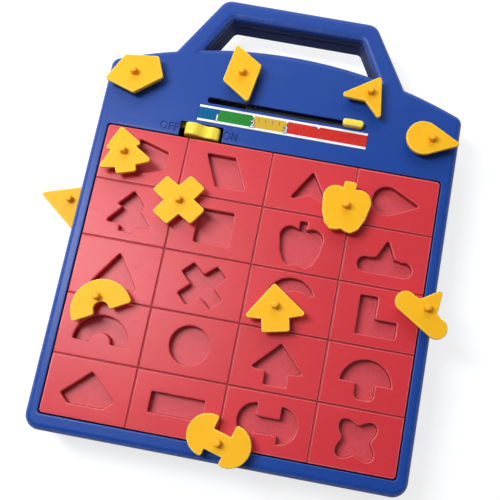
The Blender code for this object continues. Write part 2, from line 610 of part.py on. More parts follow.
def gear_outline(teeth, module, phase):
    """A wheel's rim. The first tooth points along the phase angle."""
    pitch_radius = teeth * module / 2
    half_root = (math.pi * module / 4 - TOOTH_THINNING) / pitch_radius
    half_tip = half_root - FLANK_SHARE * module / pitch_radius
    root_radius = pitch_radius - DEDENDUM_SHARE * module
    tip_radius = pitch_radius + ADDENDUM_SHARE * module
    points = []
    for tooth in range(teeth):
        middle = phase + math.tau * tooth / teeth
        for radius, angle in (
            (root_radius, -half_root), (tip_radius, -half_tip),
            (tip_radius, half_tip), (root_radius, half_root),
        ):
            points.append((radius * math.cos(middle + angle), radius * math.sin(middle + angle)))
    return points


def meshing_phase(phase, teeth, direction, other_teeth):
    """The phase of a second wheel, in this direction from the first, whose gap meets the first's tooth."""
    offset = (direction - phase) * teeth / math.tau
    return direction + math.pi - (0.5 - offset) * math.tau / other_teeth


def moved_outline(points, x, y):
    return [(x + point_x, y + point_y) for point_x, point_y in points]


def circle_outline(x, y, radius, sides=ROUND_SIDES):
    angles = [math.tau * side / sides for side in range(sides)]
    return [(x + radius * math.cos(angle), y + radius * math.sin(angle)) for angle in angles]


# Solids

for leftover in list(bpy.data.objects):
    bpy.data.objects.remove(leftover)

PARTS = bpy.data.collections.new("pop_up_shape_timer_game")
WORK = bpy.data.collections.new("work_solids")
for collection in (PARTS, WORK):
    bpy.context.scene.collection.children.link(collection)


def work_solid(mesh, matrix=None):
    """A solid that later becomes a piece, is joined to one or cuts one."""
    solid = bpy.data.objects.new("solid", mesh)
    solid.hide_render = True
    solid.display_type = "WIRE"
    if matrix:
        solid.matrix_world = matrix
    WORK.objects.link(solid)
    return solid


def evaluated_mesh(obj):
    bpy.context.view_layer.update()
    graph = bpy.context.evaluated_depsgraph_get()
    return bpy.data.meshes.new_from_object(obj.evaluated_get(graph))


def remove_object(obj):
    data = obj.data
    bpy.data.objects.remove(obj)
    if data.users == 0:
        (bpy.data.meshes if isinstance(data, bpy.types.Mesh) else bpy.data.curves).remove(data)


def curve_solid(curve, matrix):
    """The closed mesh of a curve, with its caps welded on."""
    drawn = bpy.data.objects.new("curve", curve)
    WORK.objects.link(drawn)
    mesh = evaluated_mesh(drawn)
    remove_object(drawn)
    shell = bmesh.new()
    shell.from_mesh(mesh)
    bmesh.ops.remove_doubles(shell, verts=shell.verts, dist=WELD_REACH)
    bmesh.ops.recalc_face_normals(shell, faces=shell.faces)
    shell.to_mesh(mesh)
    shell.free()
    return work_solid(mesh, matrix)


def prism(outlines, low, high, matrix=Matrix()):
    """A solid between two heights over a flat outline. A further outline inside the first is a hole."""
    curve = bpy.data.curves.new("outline", "CURVE")
    curve.dimensions = "2D"
    curve.fill_mode = "BOTH"
    curve.extrude = (high - low) / 2
    for points in outlines:
        spline = curve.splines.new("POLY")
        spline.points.add(len(points) - 1)
        for control, (x, y) in zip(spline.points, points):
            control.co = (x, y, 0, 1)
        spline.use_cyclic_u = True
    return curve_solid(curve, matrix @ Matrix.Translation((0, 0, (low + high) / 2)))


def rounded_prism(outlines, low, high, radius, rounded_top):
    """A prism with one end's edges rounded."""
    solid = prism(outlines, low, high)
    mesh = bmesh.new()
    mesh.from_mesh(solid.data)
    bmesh.ops.dissolve_limit(
        mesh, angle_limit=math.radians(1), verts=mesh.verts, edges=mesh.edges, delimit={"NORMAL"}
    )
    facing = 1 if rounded_top else -1
    rim = [
        edge for edge in mesh.edges
        if all(vert.co.z * facing > 0 for vert in edge.verts)
        and any(abs(face.normal.z) < 0.5 for face in edge.link_faces)
        and any(face.normal.z * facing > 0.5 for face in edge.link_faces)
    ]
    bmesh.ops.bevel(
        mesh, geom=rim, offset=radius, offset_type="OFFSET", segments=RIM_STEPS, profile=0.5,
        affect="EDGES", clamp_overlap=False,
    )
    mesh.to_mesh(solid.data)
    mesh.free()
    return solid


def box(low_corner, high_corner):
    """A block between two corners."""
    shape = bmesh.new()
    bmesh.ops.create_cube(shape, size=1)
    sides = [high - low for low, high in zip(low_corner, high_corner)]
    bmesh.ops.scale(shape, vec=sides, verts=shape.verts)
    mesh = bpy.data.meshes.new("box")
    shape.to_mesh(mesh)
    shape.free()
    centre = [(low + high) / 2 for low, high in zip(low_corner, high_corner)]
    return work_solid(mesh, Matrix.Translation(centre))


def cylinder(x, y, low, high, radius, sides=ROUND_SIDES):
    """An upright cylinder."""
    shape = bmesh.new()
    bmesh.ops.create_cone(
        shape, cap_ends=True, segments=sides, radius1=radius, radius2=radius, depth=high - low
    )
    mesh = bpy.data.meshes.new("cylinder")
    shape.to_mesh(mesh)
    shape.free()
    return work_solid(mesh, Matrix.Translation((x, y, (low + high) / 2)))


def lying_cylinder(x, z, front, rear, radius, sides=ROUND_SIDES):
    """A cylinder along Y."""
    solid = cylinder(0, 0, 0, rear - front, radius, sides)
    centre = Matrix.Translation((x, (front + rear) / 2, z))
    solid.matrix_world = centre @ Matrix.Rotation(math.radians(90), 4, "X")
    return solid


def combined(base, solids, operation):
    """The base with the solids joined to it (UNION) or cut from it (DIFFERENCE)."""
    tools = bpy.data.collections.new("tools")
    bpy.context.scene.collection.children.link(tools)
    for solid in solids:
        tools.objects.link(solid)
    modifier = base.modifiers.new(operation, "BOOLEAN")
    modifier.operand_type = "COLLECTION"
    modifier.collection = tools
    modifier.operation = operation
    modifier.solver = "EXACT"
    mesh = evaluated_mesh(base)
    base.modifiers.clear()
    base.data = mesh
    for solid in solids:
        remove_object(solid)
    bpy.data.collections.remove(tools)
    return base


def joined(base, solids):
    return combined(base, solids, "UNION")


def cut(base, solids):
    return combined(base, solids, "DIFFERENCE")


MATERIALS = {}


def material(name, colour, roughness, metallic=0.0):
    """A Principled material, made once for each name."""
    if name not in MATERIALS:
        made = bpy.data.materials.new(name)
        made.use_nodes = True
        shader = made.node_tree.nodes["Principled BSDF"]
        shader.inputs["Base Color"].default_value = (*colour, 1)
        shader.inputs["Roughness"].default_value = roughness
        shader.inputs["Metallic"].default_value = metallic
        MATERIALS[name] = made
    return MATERIALS[name]


def blue_plastic():
    return material("blue_plastic", (0.012, 0.065, 0.35), 0.42)


def red_plastic():
    return material("red_plastic", (0.68, 0.03, 0.045), 0.5)


def amber_plastic():
    return material("amber_plastic", (1.0, 0.52, 0.01), 0.3)


def lemon_plastic():
    return material("lemon_plastic", (0.95, 0.75, 0.05), 0.3)


def scale_card():
    return material("scale_card", (0.02, 0.16, 0.35), 0.35)


def nylon():
    return material("nylon", (0.8, 0.8, 0.75), 0.4)


def brass():
    return material("brass", (0.7, 0.45, 0.15), 0.3, 1.0)


def steel():
    return material("steel", (0.6, 0.6, 0.62), 0.3, 1.0)


def make_piece(name, solid, surface, origin=(0, 0, 0), place=None):
    """Turns a work solid into a named piece. Its origin lies on its joint's axis where it moves.

    With a place, the solid was made round the world's origin and goes there. Without one it stays put.
    """
    bpy.context.view_layer.update()
    mesh = solid.data
    shift = Matrix() if place else Matrix.Translation(origin).inverted()
    mesh.transform(shift @ solid.matrix_world)
    mesh.materials.clear()
    mesh.materials.append(surface)
    mesh.shade_smooth()
    mesh.set_sharp_from_angle(angle=math.radians(SMOOTH_EDGE_DEG))
    mesh.name = name
    WORK.objects.unlink(solid)
    PARTS.objects.link(solid)
    solid.name = name
    solid.hide_render = False
    solid.display_type = "TEXTURED"
    solid.matrix_world = place or Matrix.Translation(origin)
    return solid


# The tray's tiles

def tile_centre(column, row):
    return (
        (COLUMN_EDGES[column] + COLUMN_EDGES[column + 1]) / 2,
        (ROW_EDGES[row] + ROW_EDGES[row + 1]) / 2,
    )


def tiles():
    """Each shape with the middle of its tile."""
    for row, shapes in enumerate(TRAY_ROWS):
        for column, shape in enumerate(shapes):
            yield shape, tile_centre(column, row)


def corner_tiles():
    for row in (0, len(TRAY_ROWS) - 1):
        for column in (0, len(TRAY_ROWS[0]) - 1):
            yield tile_centre(column, row)


# The case

def hollow(low, high, handle_low):
    """The room inside one shell, in the case and in the handle."""
    handle_room = prism(
        [offset_outline(handle_outline(), -WALL), offset_outline(grip_outline(), WALL)], handle_low, high
    )
    return joined(prism([offset_outline(case_outline(), -WALL)], low, high), [handle_room])


def top_ribs():
    """What hangs from the upper shell's ceiling, apart from the screw bosses."""
    window_rib = prism([
        rounded_rectangle(
            WINDOW_HALF_WIDTH + STOP_RIB_WALL, WINDOW_HALF_DEPTH + STOP_RIB_WALL,
            TRAY_CORNER_RADIUS + STOP_RIB_WALL,
        ),
        rounded_rectangle(
            WINDOW_HALF_WIDTH - OVERRUN, WINDOW_HALF_DEPTH - OVERRUN, TRAY_CORNER_RADIUS - OVERRUN,
        ),
    ], STOP_RIB_LOW, ROOTS)
    keeper = box(
        (WINDING_ARBOR_X - LATCH_WIDTH / 4, LATCH_TIP + OVERRUN, LATCH_TOP + GAP),
        (WINDING_ARBOR_X + LATCH_WIDTH / 4, LATCH_TIP + OVERRUN + KEEPER_DEPTH, ROOTS),
    )
    pin_boss = box(
        (ROCKER_X - SWITCH_BOSS_WIDTH / 2, SWITCH_REAR + GAP, ROCKER_AXIS_HEIGHT - SWITCH_BOSS_WIDTH / 2),
        (ROCKER_X + SWITCH_BOSS_WIDTH / 2, SWITCH_REAR + GAP + SWITCH_BOSS_DEPTH, ROOTS),
    )
    guides = []
    for middle in (RACK_REST_RIGHT / 2, (RACK_REST_LEFT + SWITCH_LEFT) / 2):
        guides.append(box(
            (middle - RACK_GUIDE_LENGTH / 2, RACK_FRONT - GAP - STOP_RIB_WALL, RACK_LOW + OVERRUN),
            (middle + RACK_GUIDE_LENGTH / 2, RACK_FRONT - GAP, ROOTS),
        ))
    return [window_rib, keeper, pin_boss, *guides]


def top_openings():
    """What goes through or into the upper shell's top."""
    above = CASE_HEIGHT + OVERRUN
    window = prism(
        [rounded_rectangle(WINDOW_HALF_WIDTH, WINDOW_HALF_DEPTH, TRAY_CORNER_RADIUS)],
        STOP_RIB_LOW - OVERRUN, above,
    )
    catch_notch = box(
        (WINDING_ARBOR_X - LATCH_WIDTH / 2 - OVERRUN, WINDOW_HALF_DEPTH - OVERRUN, STOP_RIB_LOW - OVERRUN),
        (
            WINDING_ARBOR_X + LATCH_WIDTH / 2 + OVERRUN, WINDOW_HALF_DEPTH + STOP_RIB_WALL + OVERRUN,
            CATCH_TOP + OVERRUN,
        ),
    )
    switch_window = box(
        (SWITCH_LEFT, WINDOW_HALF_DEPTH - OVERRUN, STOP_RIB_LOW - OVERRUN), (SWITCH_RIGHT, SWITCH_REAR, above)
    )
    slot = prism([moved_outline(
        rounded_rectangle((SLOT_RIGHT - SLOT_LEFT) / 2, SLOT_WIDTH / 2, SLOT_CORNER_RADIUS),
        (SLOT_RIGHT + SLOT_LEFT) / 2, SLOT_PLACE,
    )], CEILING - OVERRUN, above)
    scale_recess = box(
        (SCALE_LEFT - GAP, SCALE_FRONT - GAP, CASE_HEIGHT - SCALE_SUNK - GAP),
        (SCALE_RIGHT + GAP, SCALE_REAR + GAP, above),
    )
    pin_bore = lying_cylinder(
        ROCKER_X, ROCKER_AXIS_HEIGHT, SWITCH_REAR - OVERRUN,
        SWITCH_REAR + GAP + SWITCH_BOSS_DEPTH - BOSS_ROOF, SWITCH_PIN_RADIUS + GAP,
    )
    return [window, catch_notch, switch_window, slot, scale_recess, pin_bore]


def make_case_top():
    shell = rounded_prism([case_outline()], PARTING_HEIGHT, CASE_HEIGHT, RIM_RADIUS, True)
    handle = rounded_prism(
        [handle_outline(), grip_outline()], PARTING_HEIGHT, CASE_HEIGHT, RIM_RADIUS, True
    )
    joined(shell, [handle])
    below = PARTING_HEIGHT - OVERRUN
    cut(shell, [hollow(below, CEILING, below)])
    bosses = [
        cylinder(x, y, PARTING_HEIGHT, ROOTS, UPPER_BOSS_RADIUS) for x, y, _ in CASE_SCREWS
    ]
    joined(shell, bosses + top_ribs())
    bores = [
        cylinder(x, y, below, CEILING - BOSS_ROOF, SCREW_RADIUS + GAP) for x, y, _ in CASE_SCREWS
    ]
    cut(shell, bores + top_openings())
    return make_piece("case_top", shell, blue_plastic())


def bottom_supports():
    """What stands on the lower shell's floor, apart from the screw bosses."""
    root = WALL - OVERRUN
    supports = [
        cylinder(x, y, root, WALL + SPIGOT_HEIGHT, SPIGOT_RADIUS) for x, y in corner_tiles()
    ]
    for x, y in PILLARS + BASE_SCREWS:
        supports.append(cylinder(x, y, root, BASE_PLATE_LOW - GAP, FOOT_BOSS_RADIUS))
    supports.append(box(
        (WINDING_ARBOR_X - LATCH_WIDTH / 2, LATCH_RIB_PLACE, root),
        (WINDING_ARBOR_X + LATCH_WIDTH / 2, LATCH_RIB_PLACE + REST_RIB_WALL, LATCH_LOW - GAP),
    ))
    rack_middle = (RACK_FRONT + RACK_ROOT) / 2
    for x in (RACK_REST_LEFT, RACK_REST_RIGHT):
        supports.append(box(
            (x, rack_middle - REST_RIB_LENGTH / 2, root),
            (x + REST_RIB_WALL, rack_middle + REST_RIB_LENGTH / 2, RACK_LOW - GAP),
        ))
    return supports


def make_case_bottom():
    shell = rounded_prism([case_outline()], 0, LOWER_TOP, FOOT_RADIUS, False)
    handle = rounded_prism(
        [handle_outline(), grip_outline()], HANDLE_LOW, LOWER_TOP, HANDLE_FOOT_RADIUS, False
    )
    joined(shell, [handle])
    cut(shell, [hollow(WALL, LOWER_TOP + OVERRUN, HANDLE_LOW + WALL)])
    bosses = []
    bores = []
    for x, y, seat in CASE_SCREWS:
        outside = HANDLE_LOW if seat == HANDLE_SCREW_SEAT else 0
        bosses.append(cylinder(x, y, outside + WALL - OVERRUN, LOWER_TOP, LOWER_BOSS_RADIUS))
        bores.append(cylinder(x, y, outside - OVERRUN, seat, SCREW_HEAD_RADIUS + GAP))
        bores.append(cylinder(x, y, seat - OVERRUN, LOWER_TOP + OVERRUN, SCREW_RADIUS + GAP))
    for x, y in BASE_SCREWS:
        bores.append(cylinder(x, y, WALL / 2, BASE_PLATE_LOW, SMALL_SCREW_RADIUS + GAP))
    joined(shell, bosses + bottom_supports())
    cut(shell, bores)
    return make_piece("case_bottom", shell, blue_plastic())


def make_screw(name, x, y, seat, length, radius, head_radius, head_height, points_up):
    """A screw whose head bears on the seat height, with its shank above or below it."""
    facing = 1 if points_up else -1
    bearing = seat - facing * GAP
    ends = sorted((bearing - facing * head_height, bearing))
    head = cylinder(x, y, *ends, head_radius)
    ends = sorted((bearing - facing * head_height / 2, bearing + facing * length))
    joined(head, [cylinder(x, y, *ends, radius, FINE_SIDES)])
    return make_piece(name, head, steel())


def make_case_screws():
    for number, (x, y, seat) in enumerate(CASE_SCREWS, 1):
        make_screw(
            f"case_screw_{number}", x, y, seat, SCREW_END - seat, SCREW_RADIUS, SCREW_HEAD_RADIUS,
            SCREW_HEAD_HEIGHT, True,
        )


# The tray

def groove(matrix, half_length):
    """A V-shaped cutter for the tray's face, along the matrix's Z axis."""
    flare = GROOVE_WIDTH / 2 * (GROOVE_DEPTH + OVERRUN) / GROOVE_DEPTH
    high = CASE_HEIGHT + OVERRUN
    outline = [(0, CASE_HEIGHT - GROOVE_DEPTH), (flare, high), (-flare, high)]
    return prism([outline], -half_length, half_length, matrix)


def tray_grooves():
    upright = Matrix.Rotation(math.radians(90), 4, "X")
    across = Matrix.Rotation(math.radians(90), 4, "Z") @ upright
    grooves = [
        groove(Matrix.Translation((x, 0, 0)) @ upright, TRAY_HALF_DEPTH + OVERRUN)
        for x in COLUMN_EDGES[1:-1]
    ]
    grooves += [
        groove(Matrix.Translation((0, y, 0)) @ across, TRAY_HALF_WIDTH + OVERRUN)
        for y in ROW_EDGES[1:-1]
    ]
    return grooves


def stop_tabs():
    """Tabs that meet the window's rib from below when the tray is up."""
    low = STOP_TAB_TOP - STOP_TAB_THICKNESS
    half = STOP_TAB_LENGTH / 2
    tabs = []
    for side in (-1, 1):
        inner, outer = TRAY_HALF_WIDTH - TRAY_SKIRT_WALL / 2, TRAY_HALF_WIDTH + STOP_TAB_REACH
        left, right = sorted((side * inner, side * outer))
        for middle in (-SIDE_TAB_PLACE, SIDE_TAB_PLACE):
            tabs.append(box((left, middle - half, low), (right, middle + half, STOP_TAB_TOP)))
    inner, outer = TRAY_HALF_DEPTH - TRAY_SKIRT_WALL / 2, TRAY_HALF_DEPTH + STOP_TAB_REACH
    for side, middles in ((-1, (-FRONT_TAB_PLACE, FRONT_TAB_PLACE)), (1, REAR_TAB_PLACES)):
        front, rear = sorted((side * inner, side * outer))
        for middle in middles:
            tabs.append(box((middle - half, front, low), (middle + half, rear, STOP_TAB_TOP)))
    return tabs


def make_tray():
    tray = prism(
        [rounded_rectangle(TRAY_HALF_WIDTH, TRAY_HALF_DEPTH, TRAY_CORNER_RADIUS)], SKIRT_BOTTOM, CASE_HEIGHT
    )
    room = prism([rounded_rectangle(
        TRAY_HALF_WIDTH - TRAY_SKIRT_WALL, TRAY_HALF_DEPTH - TRAY_SKIRT_WALL,
        TRAY_CORNER_RADIUS - TRAY_SKIRT_WALL,
    )], SKIRT_BOTTOM - OVERRUN, CASE_HEIGHT - TRAY_PLATE)
    cut(tray, [room])
    cups = []
    recesses = []
    for shape, (x, y) in tiles():
        outline = moved_outline(shape_outline(shape), x, y)
        cups.append(prism([offset_outline(outline, CUP_WALL)], CUP_BOTTOM, CASE_HEIGHT - TRAY_PLATE / 2))
        recesses.append(prism([outline], RECESS_FLOOR, CASE_HEIGHT + OVERRUN))
    spigots = [
        cylinder(x, y, CUP_BOTTOM - SPIGOT_HEIGHT, CUP_BOTTOM + CUP_WALL / 2, SPIGOT_RADIUS)
        for x, y in corner_tiles()
    ]
    catch = box(
        (
            WINDING_ARBOR_X - CATCH_WIDTH / 2, TRAY_HALF_DEPTH - TRAY_SKIRT_WALL / 2,
            CATCH_TOP - CATCH_THICKNESS,
        ),
        (WINDING_ARBOR_X + CATCH_WIDTH / 2, TRAY_HALF_DEPTH + CATCH_REACH, CATCH_TOP),
    )
    joined(tray, cups + spigots + stop_tabs() + [catch])
    cut(tray, recesses + tray_grooves())
    return make_piece("shape_tray", tray, red_plastic())


def make_tray_spring(name, x, y):
    """A compression spring between the floor and a corner cup."""
    low = WALL + GAP + COIL_WIRE_RADIUS
    high = CUP_BOTTOM - GAP - COIL_WIRE_RADIUS
    curve = bpy.data.curves.new(name, "CURVE")
    curve.dimensions = "3D"
    curve.bevel_depth = COIL_WIRE_RADIUS
    curve.bevel_resolution = 0
    curve.use_fill_caps = True
    spline = curve.splines.new("POLY")
    steps = COIL_TURNS * COIL_TURN_POINTS
    spline.points.add(steps)
    for step, control in enumerate(spline.points):
        angle = math.tau * step / COIL_TURN_POINTS
        height = (high - low) * step / steps
        control.co = (COIL_RADIUS * math.cos(angle), COIL_RADIUS * math.sin(angle), height, 1)
    solid = curve_solid(curve, Matrix.Translation((x, y, low)))
    return make_piece(name, solid, steel(), (x, y, WALL + GAP))


# The timer's scale, pointer and rack

def make_timer_scale():
    plate = box(
        (SCALE_LEFT, SCALE_FRONT, CASE_HEIGHT - SCALE_SUNK),
        (SCALE_RIGHT, SCALE_REAR, CASE_HEIGHT - SCALE_SUNK + SCALE_THICKNESS),
    )
    return make_piece("timer_scale", plate, scale_card())


def make_timer_pointer():
    low = CASE_HEIGHT + GAP
    cap = rounded_prism([moved_outline(
        rounded_rectangle(POINTER_LENGTH / 2, POINTER_WIDTH / 2, SLOT_CORNER_RADIUS), POINTER_X, SLOT_PLACE,
    )], low, low + POINTER_HEIGHT, POINTER_RIM_RADIUS, True)
    stem = box(
        (
            POINTER_X - POINTER_STEM_LENGTH / 2, SLOT_PLACE - POINTER_STEM_WIDTH / 2,
            RACK_TOP - RACK_SOCKET_DEPTH + GAP,
        ),
        (POINTER_X + POINTER_STEM_LENGTH / 2, SLOT_PLACE + POINTER_STEM_WIDTH / 2, low + OVERRUN),
    )
    joined(cap, [stem])
    return make_piece("timer_pointer", cap, lemon_plastic(), (POINTER_X, SLOT_PLACE, CASE_HEIGHT))


def rack_outline():
    """A straight front and a row of teeth behind, with a gap under the winding arbor."""
    right = RACK_LEFT + RACK_LENGTH
    pitch = math.pi * RACK_MODULE
    half_root = pitch / 4 - TOOTH_THINNING + FLANK_SHARE * RACK_MODULE
    half_tip = pitch / 4 - TOOTH_THINNING - FLANK_SHARE * RACK_MODULE
    tip = RACK_PITCH_LINE + ADDENDUM_SHARE * RACK_MODULE
    first = math.ceil((RACK_LEFT + half_root - WINDING_ARBOR_X) / pitch - 0.5)
    last = math.floor((right - half_root - WINDING_ARBOR_X) / pitch - 0.5)
    points = [(RACK_LEFT, RACK_FRONT), (right, RACK_FRONT), (right, RACK_ROOT)]
    for number in range(last, first - 1, -1):
        middle = WINDING_ARBOR_X + (number + 0.5) * pitch
        points += [
            (middle + half_root, RACK_ROOT), (middle + half_tip, tip),
            (middle - half_tip, tip), (middle - half_root, RACK_ROOT),
        ]
    return points + [(RACK_LEFT, RACK_ROOT)]


def cam_groove():
    """The inclined groove for the latch's pin. It draws the latch forward as the rack goes left."""
    start = WINDING_ARBOR_X - RACK_GROOVE_END
    end = WINDING_ARBOR_X + POINTER_TRAVEL + RACK_GROOVE_END
    half = LATCH_PIN_RADIUS + GAP
    start_y = LATCH_PIN_PLACE + CAM_SLOPE * RACK_GROOVE_END
    end_y = LATCH_PIN_PLACE - CAM_SLOPE * (POINTER_TRAVEL + RACK_GROOVE_END)
    outline = [(start, start_y - half), (end, end_y - half), (end, end_y + half), (start, start_y + half)]
    return prism([outline], RACK_LOW - OVERRUN, RACK_LOW + RACK_GROOVE_DEPTH)


def make_timer_rack():
    rack = prism([rack_outline()], RACK_LOW, RACK_TOP)
    socket = box(
        (
            POINTER_X - POINTER_STEM_LENGTH / 2 - GAP, SLOT_PLACE - POINTER_STEM_WIDTH / 2 - GAP,
            RACK_TOP - RACK_SOCKET_DEPTH,
        ),
        (
            POINTER_X + POINTER_STEM_LENGTH / 2 + GAP, SLOT_PLACE + POINTER_STEM_WIDTH / 2 + GAP,
            RACK_TOP + OVERRUN,
        ),
    )
    cut(rack, [socket, cam_groove()])
    return make_piece("timer_rack", rack, nylon(), (POINTER_X, SLOT_PLACE, RACK_LOW))


# The movement

def arbor(x, y, radius):
    """An arbor between the two plates, with a thinner pivot through both."""
    return [
        cylinder(x, y, BASE_PLATE_TOP + GAP, TOP_PLATE_LOW - GAP, radius, FINE_SIDES),
        cylinder(x, y, BASE_PLATE_LOW, TOP_PLATE_TOP + PIVOT_REACH / 2, PIVOT_RADIUS, FINE_SIDES),
    ]


def wheel(place, teeth, module, phase, low, high):
    return prism([moved_outline(gear_outline(teeth, module, phase), *place)], low, high)


def make_rack_pinion():
    toothed = moved_outline(
        gear_outline(RACK_PINION_TEETH, RACK_MODULE, -math.pi / 2), *WINDING_ARBOR
    )
    bore = circle_outline(*WINDING_ARBOR, ARBOR_RADIUS + GAP, FINE_SIDES)
    pinion = prism([toothed, bore], RACK_LOW, RACK_TOP)
    hub = prism(
        [circle_outline(*WINDING_ARBOR, 2 * ARBOR_RADIUS), bore], TOP_PLATE_TOP + GAP, RACK_LOW + OVERRUN
    )
    joined(pinion, [hub])
    return make_piece("rack_pinion", pinion, nylon(), (*WINDING_ARBOR, RACK_LOW))


def make_winding_wheel():
    great = wheel(
        WINDING_ARBOR, GREAT_WHEEL_TEETH, RACK_MODULE, 0,
        GREAT_WHEEL_LOW, GREAT_WHEEL_LOW + GREAT_WHEEL_THICKNESS,
    )
    x, y = WINDING_ARBOR
    shaft = cylinder(x, y, BASE_PLATE_TOP + GAP, RACK_TOP, ARBOR_RADIUS, FINE_SIDES)
    pivot = cylinder(x, y, BASE_PLATE_LOW, BASE_PLATE_TOP + OVERRUN, PIVOT_RADIUS, FINE_SIDES)
    joined(great, [shaft, pivot])
    return make_piece("winding_wheel", great, brass(), (x, y, GREAT_WHEEL_LOW))


def make_second_wheel():
    phase = meshing_phase(0, GREAT_WHEEL_TEETH, SECOND_DIRECTION, SECOND_PINION_TEETH)
    pinion = wheel(
        SECOND_ARBOR, SECOND_PINION_TEETH, RACK_MODULE, phase, SECOND_PINION_LOW,
        SECOND_WHEEL_LOW + SECOND_WHEEL_THICKNESS / 2,
    )
    rim = wheel(
        SECOND_ARBOR, SECOND_WHEEL_TEETH, FINE_MODULE, 0, SECOND_WHEEL_LOW,
        SECOND_WHEEL_LOW + SECOND_WHEEL_THICKNESS,
    )
    joined(rim, [pinion, *arbor(*SECOND_ARBOR, FINE_ARBOR_RADIUS)])
    return make_piece("second_wheel", rim, brass(), (*SECOND_ARBOR, SECOND_WHEEL_LOW))


def escape_outline():
    """Pointed teeth that lean one way."""
    pitch = math.tau / ESCAPE_WHEEL_TEETH
    points = []
    for tooth in range(ESCAPE_WHEEL_TEETH):
        for turn_share, height_share in ESCAPE_TOOTH_SHARES:
            radius = ESCAPE_WHEEL_RADIUS - ESCAPE_TOOTH_DEPTH * (1 - height_share)
            angle = pitch * (tooth + turn_share)
            points.append((radius * math.cos(angle), radius * math.sin(angle)))
    return points


def make_escape_wheel():
    phase = meshing_phase(0, SECOND_WHEEL_TEETH, ESCAPE_DIRECTION, ESCAPE_PINION_TEETH)
    rim = prism(
        [moved_outline(escape_outline(), *ESCAPE_ARBOR)],
        ESCAPE_WHEEL_LOW, ESCAPE_WHEEL_LOW + ESCAPE_WHEEL_THICKNESS,
    )
    pinion = wheel(
        ESCAPE_ARBOR, ESCAPE_PINION_TEETH, FINE_MODULE, phase,
        ESCAPE_WHEEL_LOW + ESCAPE_WHEEL_THICKNESS / 2, ESCAPE_PINION_TOP,
    )
    joined(rim, [pinion, *arbor(*ESCAPE_ARBOR, FINE_ARBOR_RADIUS)])
    return make_piece("escape_wheel", rim, brass(), (*ESCAPE_ARBOR, ESCAPE_WHEEL_LOW))


def make_pallet_lever():
    """Two arms that reach round the escape wheel, and a tail that the switch can stop."""
    x, y = PALLET_ARBOR
    high = ESCAPE_WHEEL_LOW + ESCAPE_WHEEL_THICKNESS
    half = PALLET_ARM_WIDTH / 2
    reach = ESCAPE_WHEEL_RADIUS + PALLET_TIP_CLEARANCE + half
    spread = math.radians(PALLET_SPREAD_DEG)
    arms = []
    for side in (-1, 1):
        tip_x = side * reach * math.sin(spread)
        tip_y = PALLET_DISTANCE - reach * math.cos(spread)
        length = math.hypot(tip_x, tip_y)
        along = Matrix.Translation((x, y, 0)) @ Matrix.Rotation(math.atan2(tip_y, tip_x), 4, "Z")
        arm = prism([[(0, -half), (length, -half), (length, half), (0, half)]], ESCAPE_WHEEL_LOW, high, along)
        arms.append(arm)
    tail = box((x - half, y - PALLET_TAIL_LENGTH, SECOND_WHEEL_LOW), (x + half, y, PALLET_TAIL_TOP))
    hub = cylinder(x, y, ESCAPE_WHEEL_LOW - OVERRUN, PALLET_TAIL_TOP, PALLET_HUB_RADIUS)
    joined(hub, [tail, *arms, *arbor(x, y, FINE_ARBOR_RADIUS)])
    return make_piece("pallet_lever", hub, steel(), (x, y, ESCAPE_WHEEL_LOW))


def make_mainspring():
    """A flat spiral from the arbor out to the post on the base plate."""
    steps = SPRING_TURNS * SPRING_TURN_POINTS
    sides = ([], [])
    for step in range(steps + 1):
        angle = math.tau * step / SPRING_TURN_POINTS
        middle = SPRING_INNER_RADIUS + (SPRING_OUTER_RADIUS - SPRING_INNER_RADIUS) * step / steps
        for points, radius in zip(sides, (middle + SPRING_STRIP / 2, middle - SPRING_STRIP / 2)):
            points.append((radius * math.cos(angle), radius * math.sin(angle)))
    outline = moved_outline(sides[0] + sides[1][::-1], *WINDING_ARBOR)
    spiral = prism([outline], BASE_PLATE_TOP + GAP, SPRING_TOP)
    return make_piece("mainspring", spiral, steel())


def plate_outline():
    return moved_outline(
        rounded_rectangle(
            (PLATE_RIGHT - PLATE_LEFT) / 2, (PLATE_REAR - PLATE_FRONT) / 2, PLATE_CORNER_RADIUS
        ),
        (PLATE_RIGHT + PLATE_LEFT) / 2, (PLATE_REAR + PLATE_FRONT) / 2,
    )


def make_movement_base():
    plate = prism([plate_outline()], BASE_PLATE_LOW, BASE_PLATE_TOP)
    root = BASE_PLATE_LOW + PLATE_THICKNESS / 2
    posts = [cylinder(x, y, root, TOP_PLATE_LOW - GAP, PILLAR_RADIUS) for x, y in PILLARS]
    posts.append(cylinder(*SPRING_POST, root, SPRING_TOP, SPRING_POST_RADIUS, FINE_SIDES))
    joined(plate, posts)
    bore_low = TOP_PLATE_TOP - SMALL_SCREW_LENGTH
    holes = [
        cylinder(x, y, bore_low, TOP_PLATE_LOW, SMALL_SCREW_RADIUS + GAP, FINE_SIDES) for x, y in PILLARS
    ]
    for x, y in (WINDING_ARBOR, SECOND_ARBOR, ESCAPE_ARBOR, PALLET_ARBOR):
        holes.append(cylinder(
            x, y, BASE_PLATE_LOW - OVERRUN, BASE_PLATE_TOP + OVERRUN, PIVOT_RADIUS + GAP, FINE_SIDES
        ))
    for x, y in BASE_SCREWS:
        holes.append(cylinder(
            x, y, BASE_PLATE_LOW - OVERRUN, BASE_PLATE_TOP + OVERRUN, SMALL_SCREW_RADIUS + GAP, FINE_SIDES
        ))
    cut(plate, holes)
    return make_piece("movement_base", plate, steel())


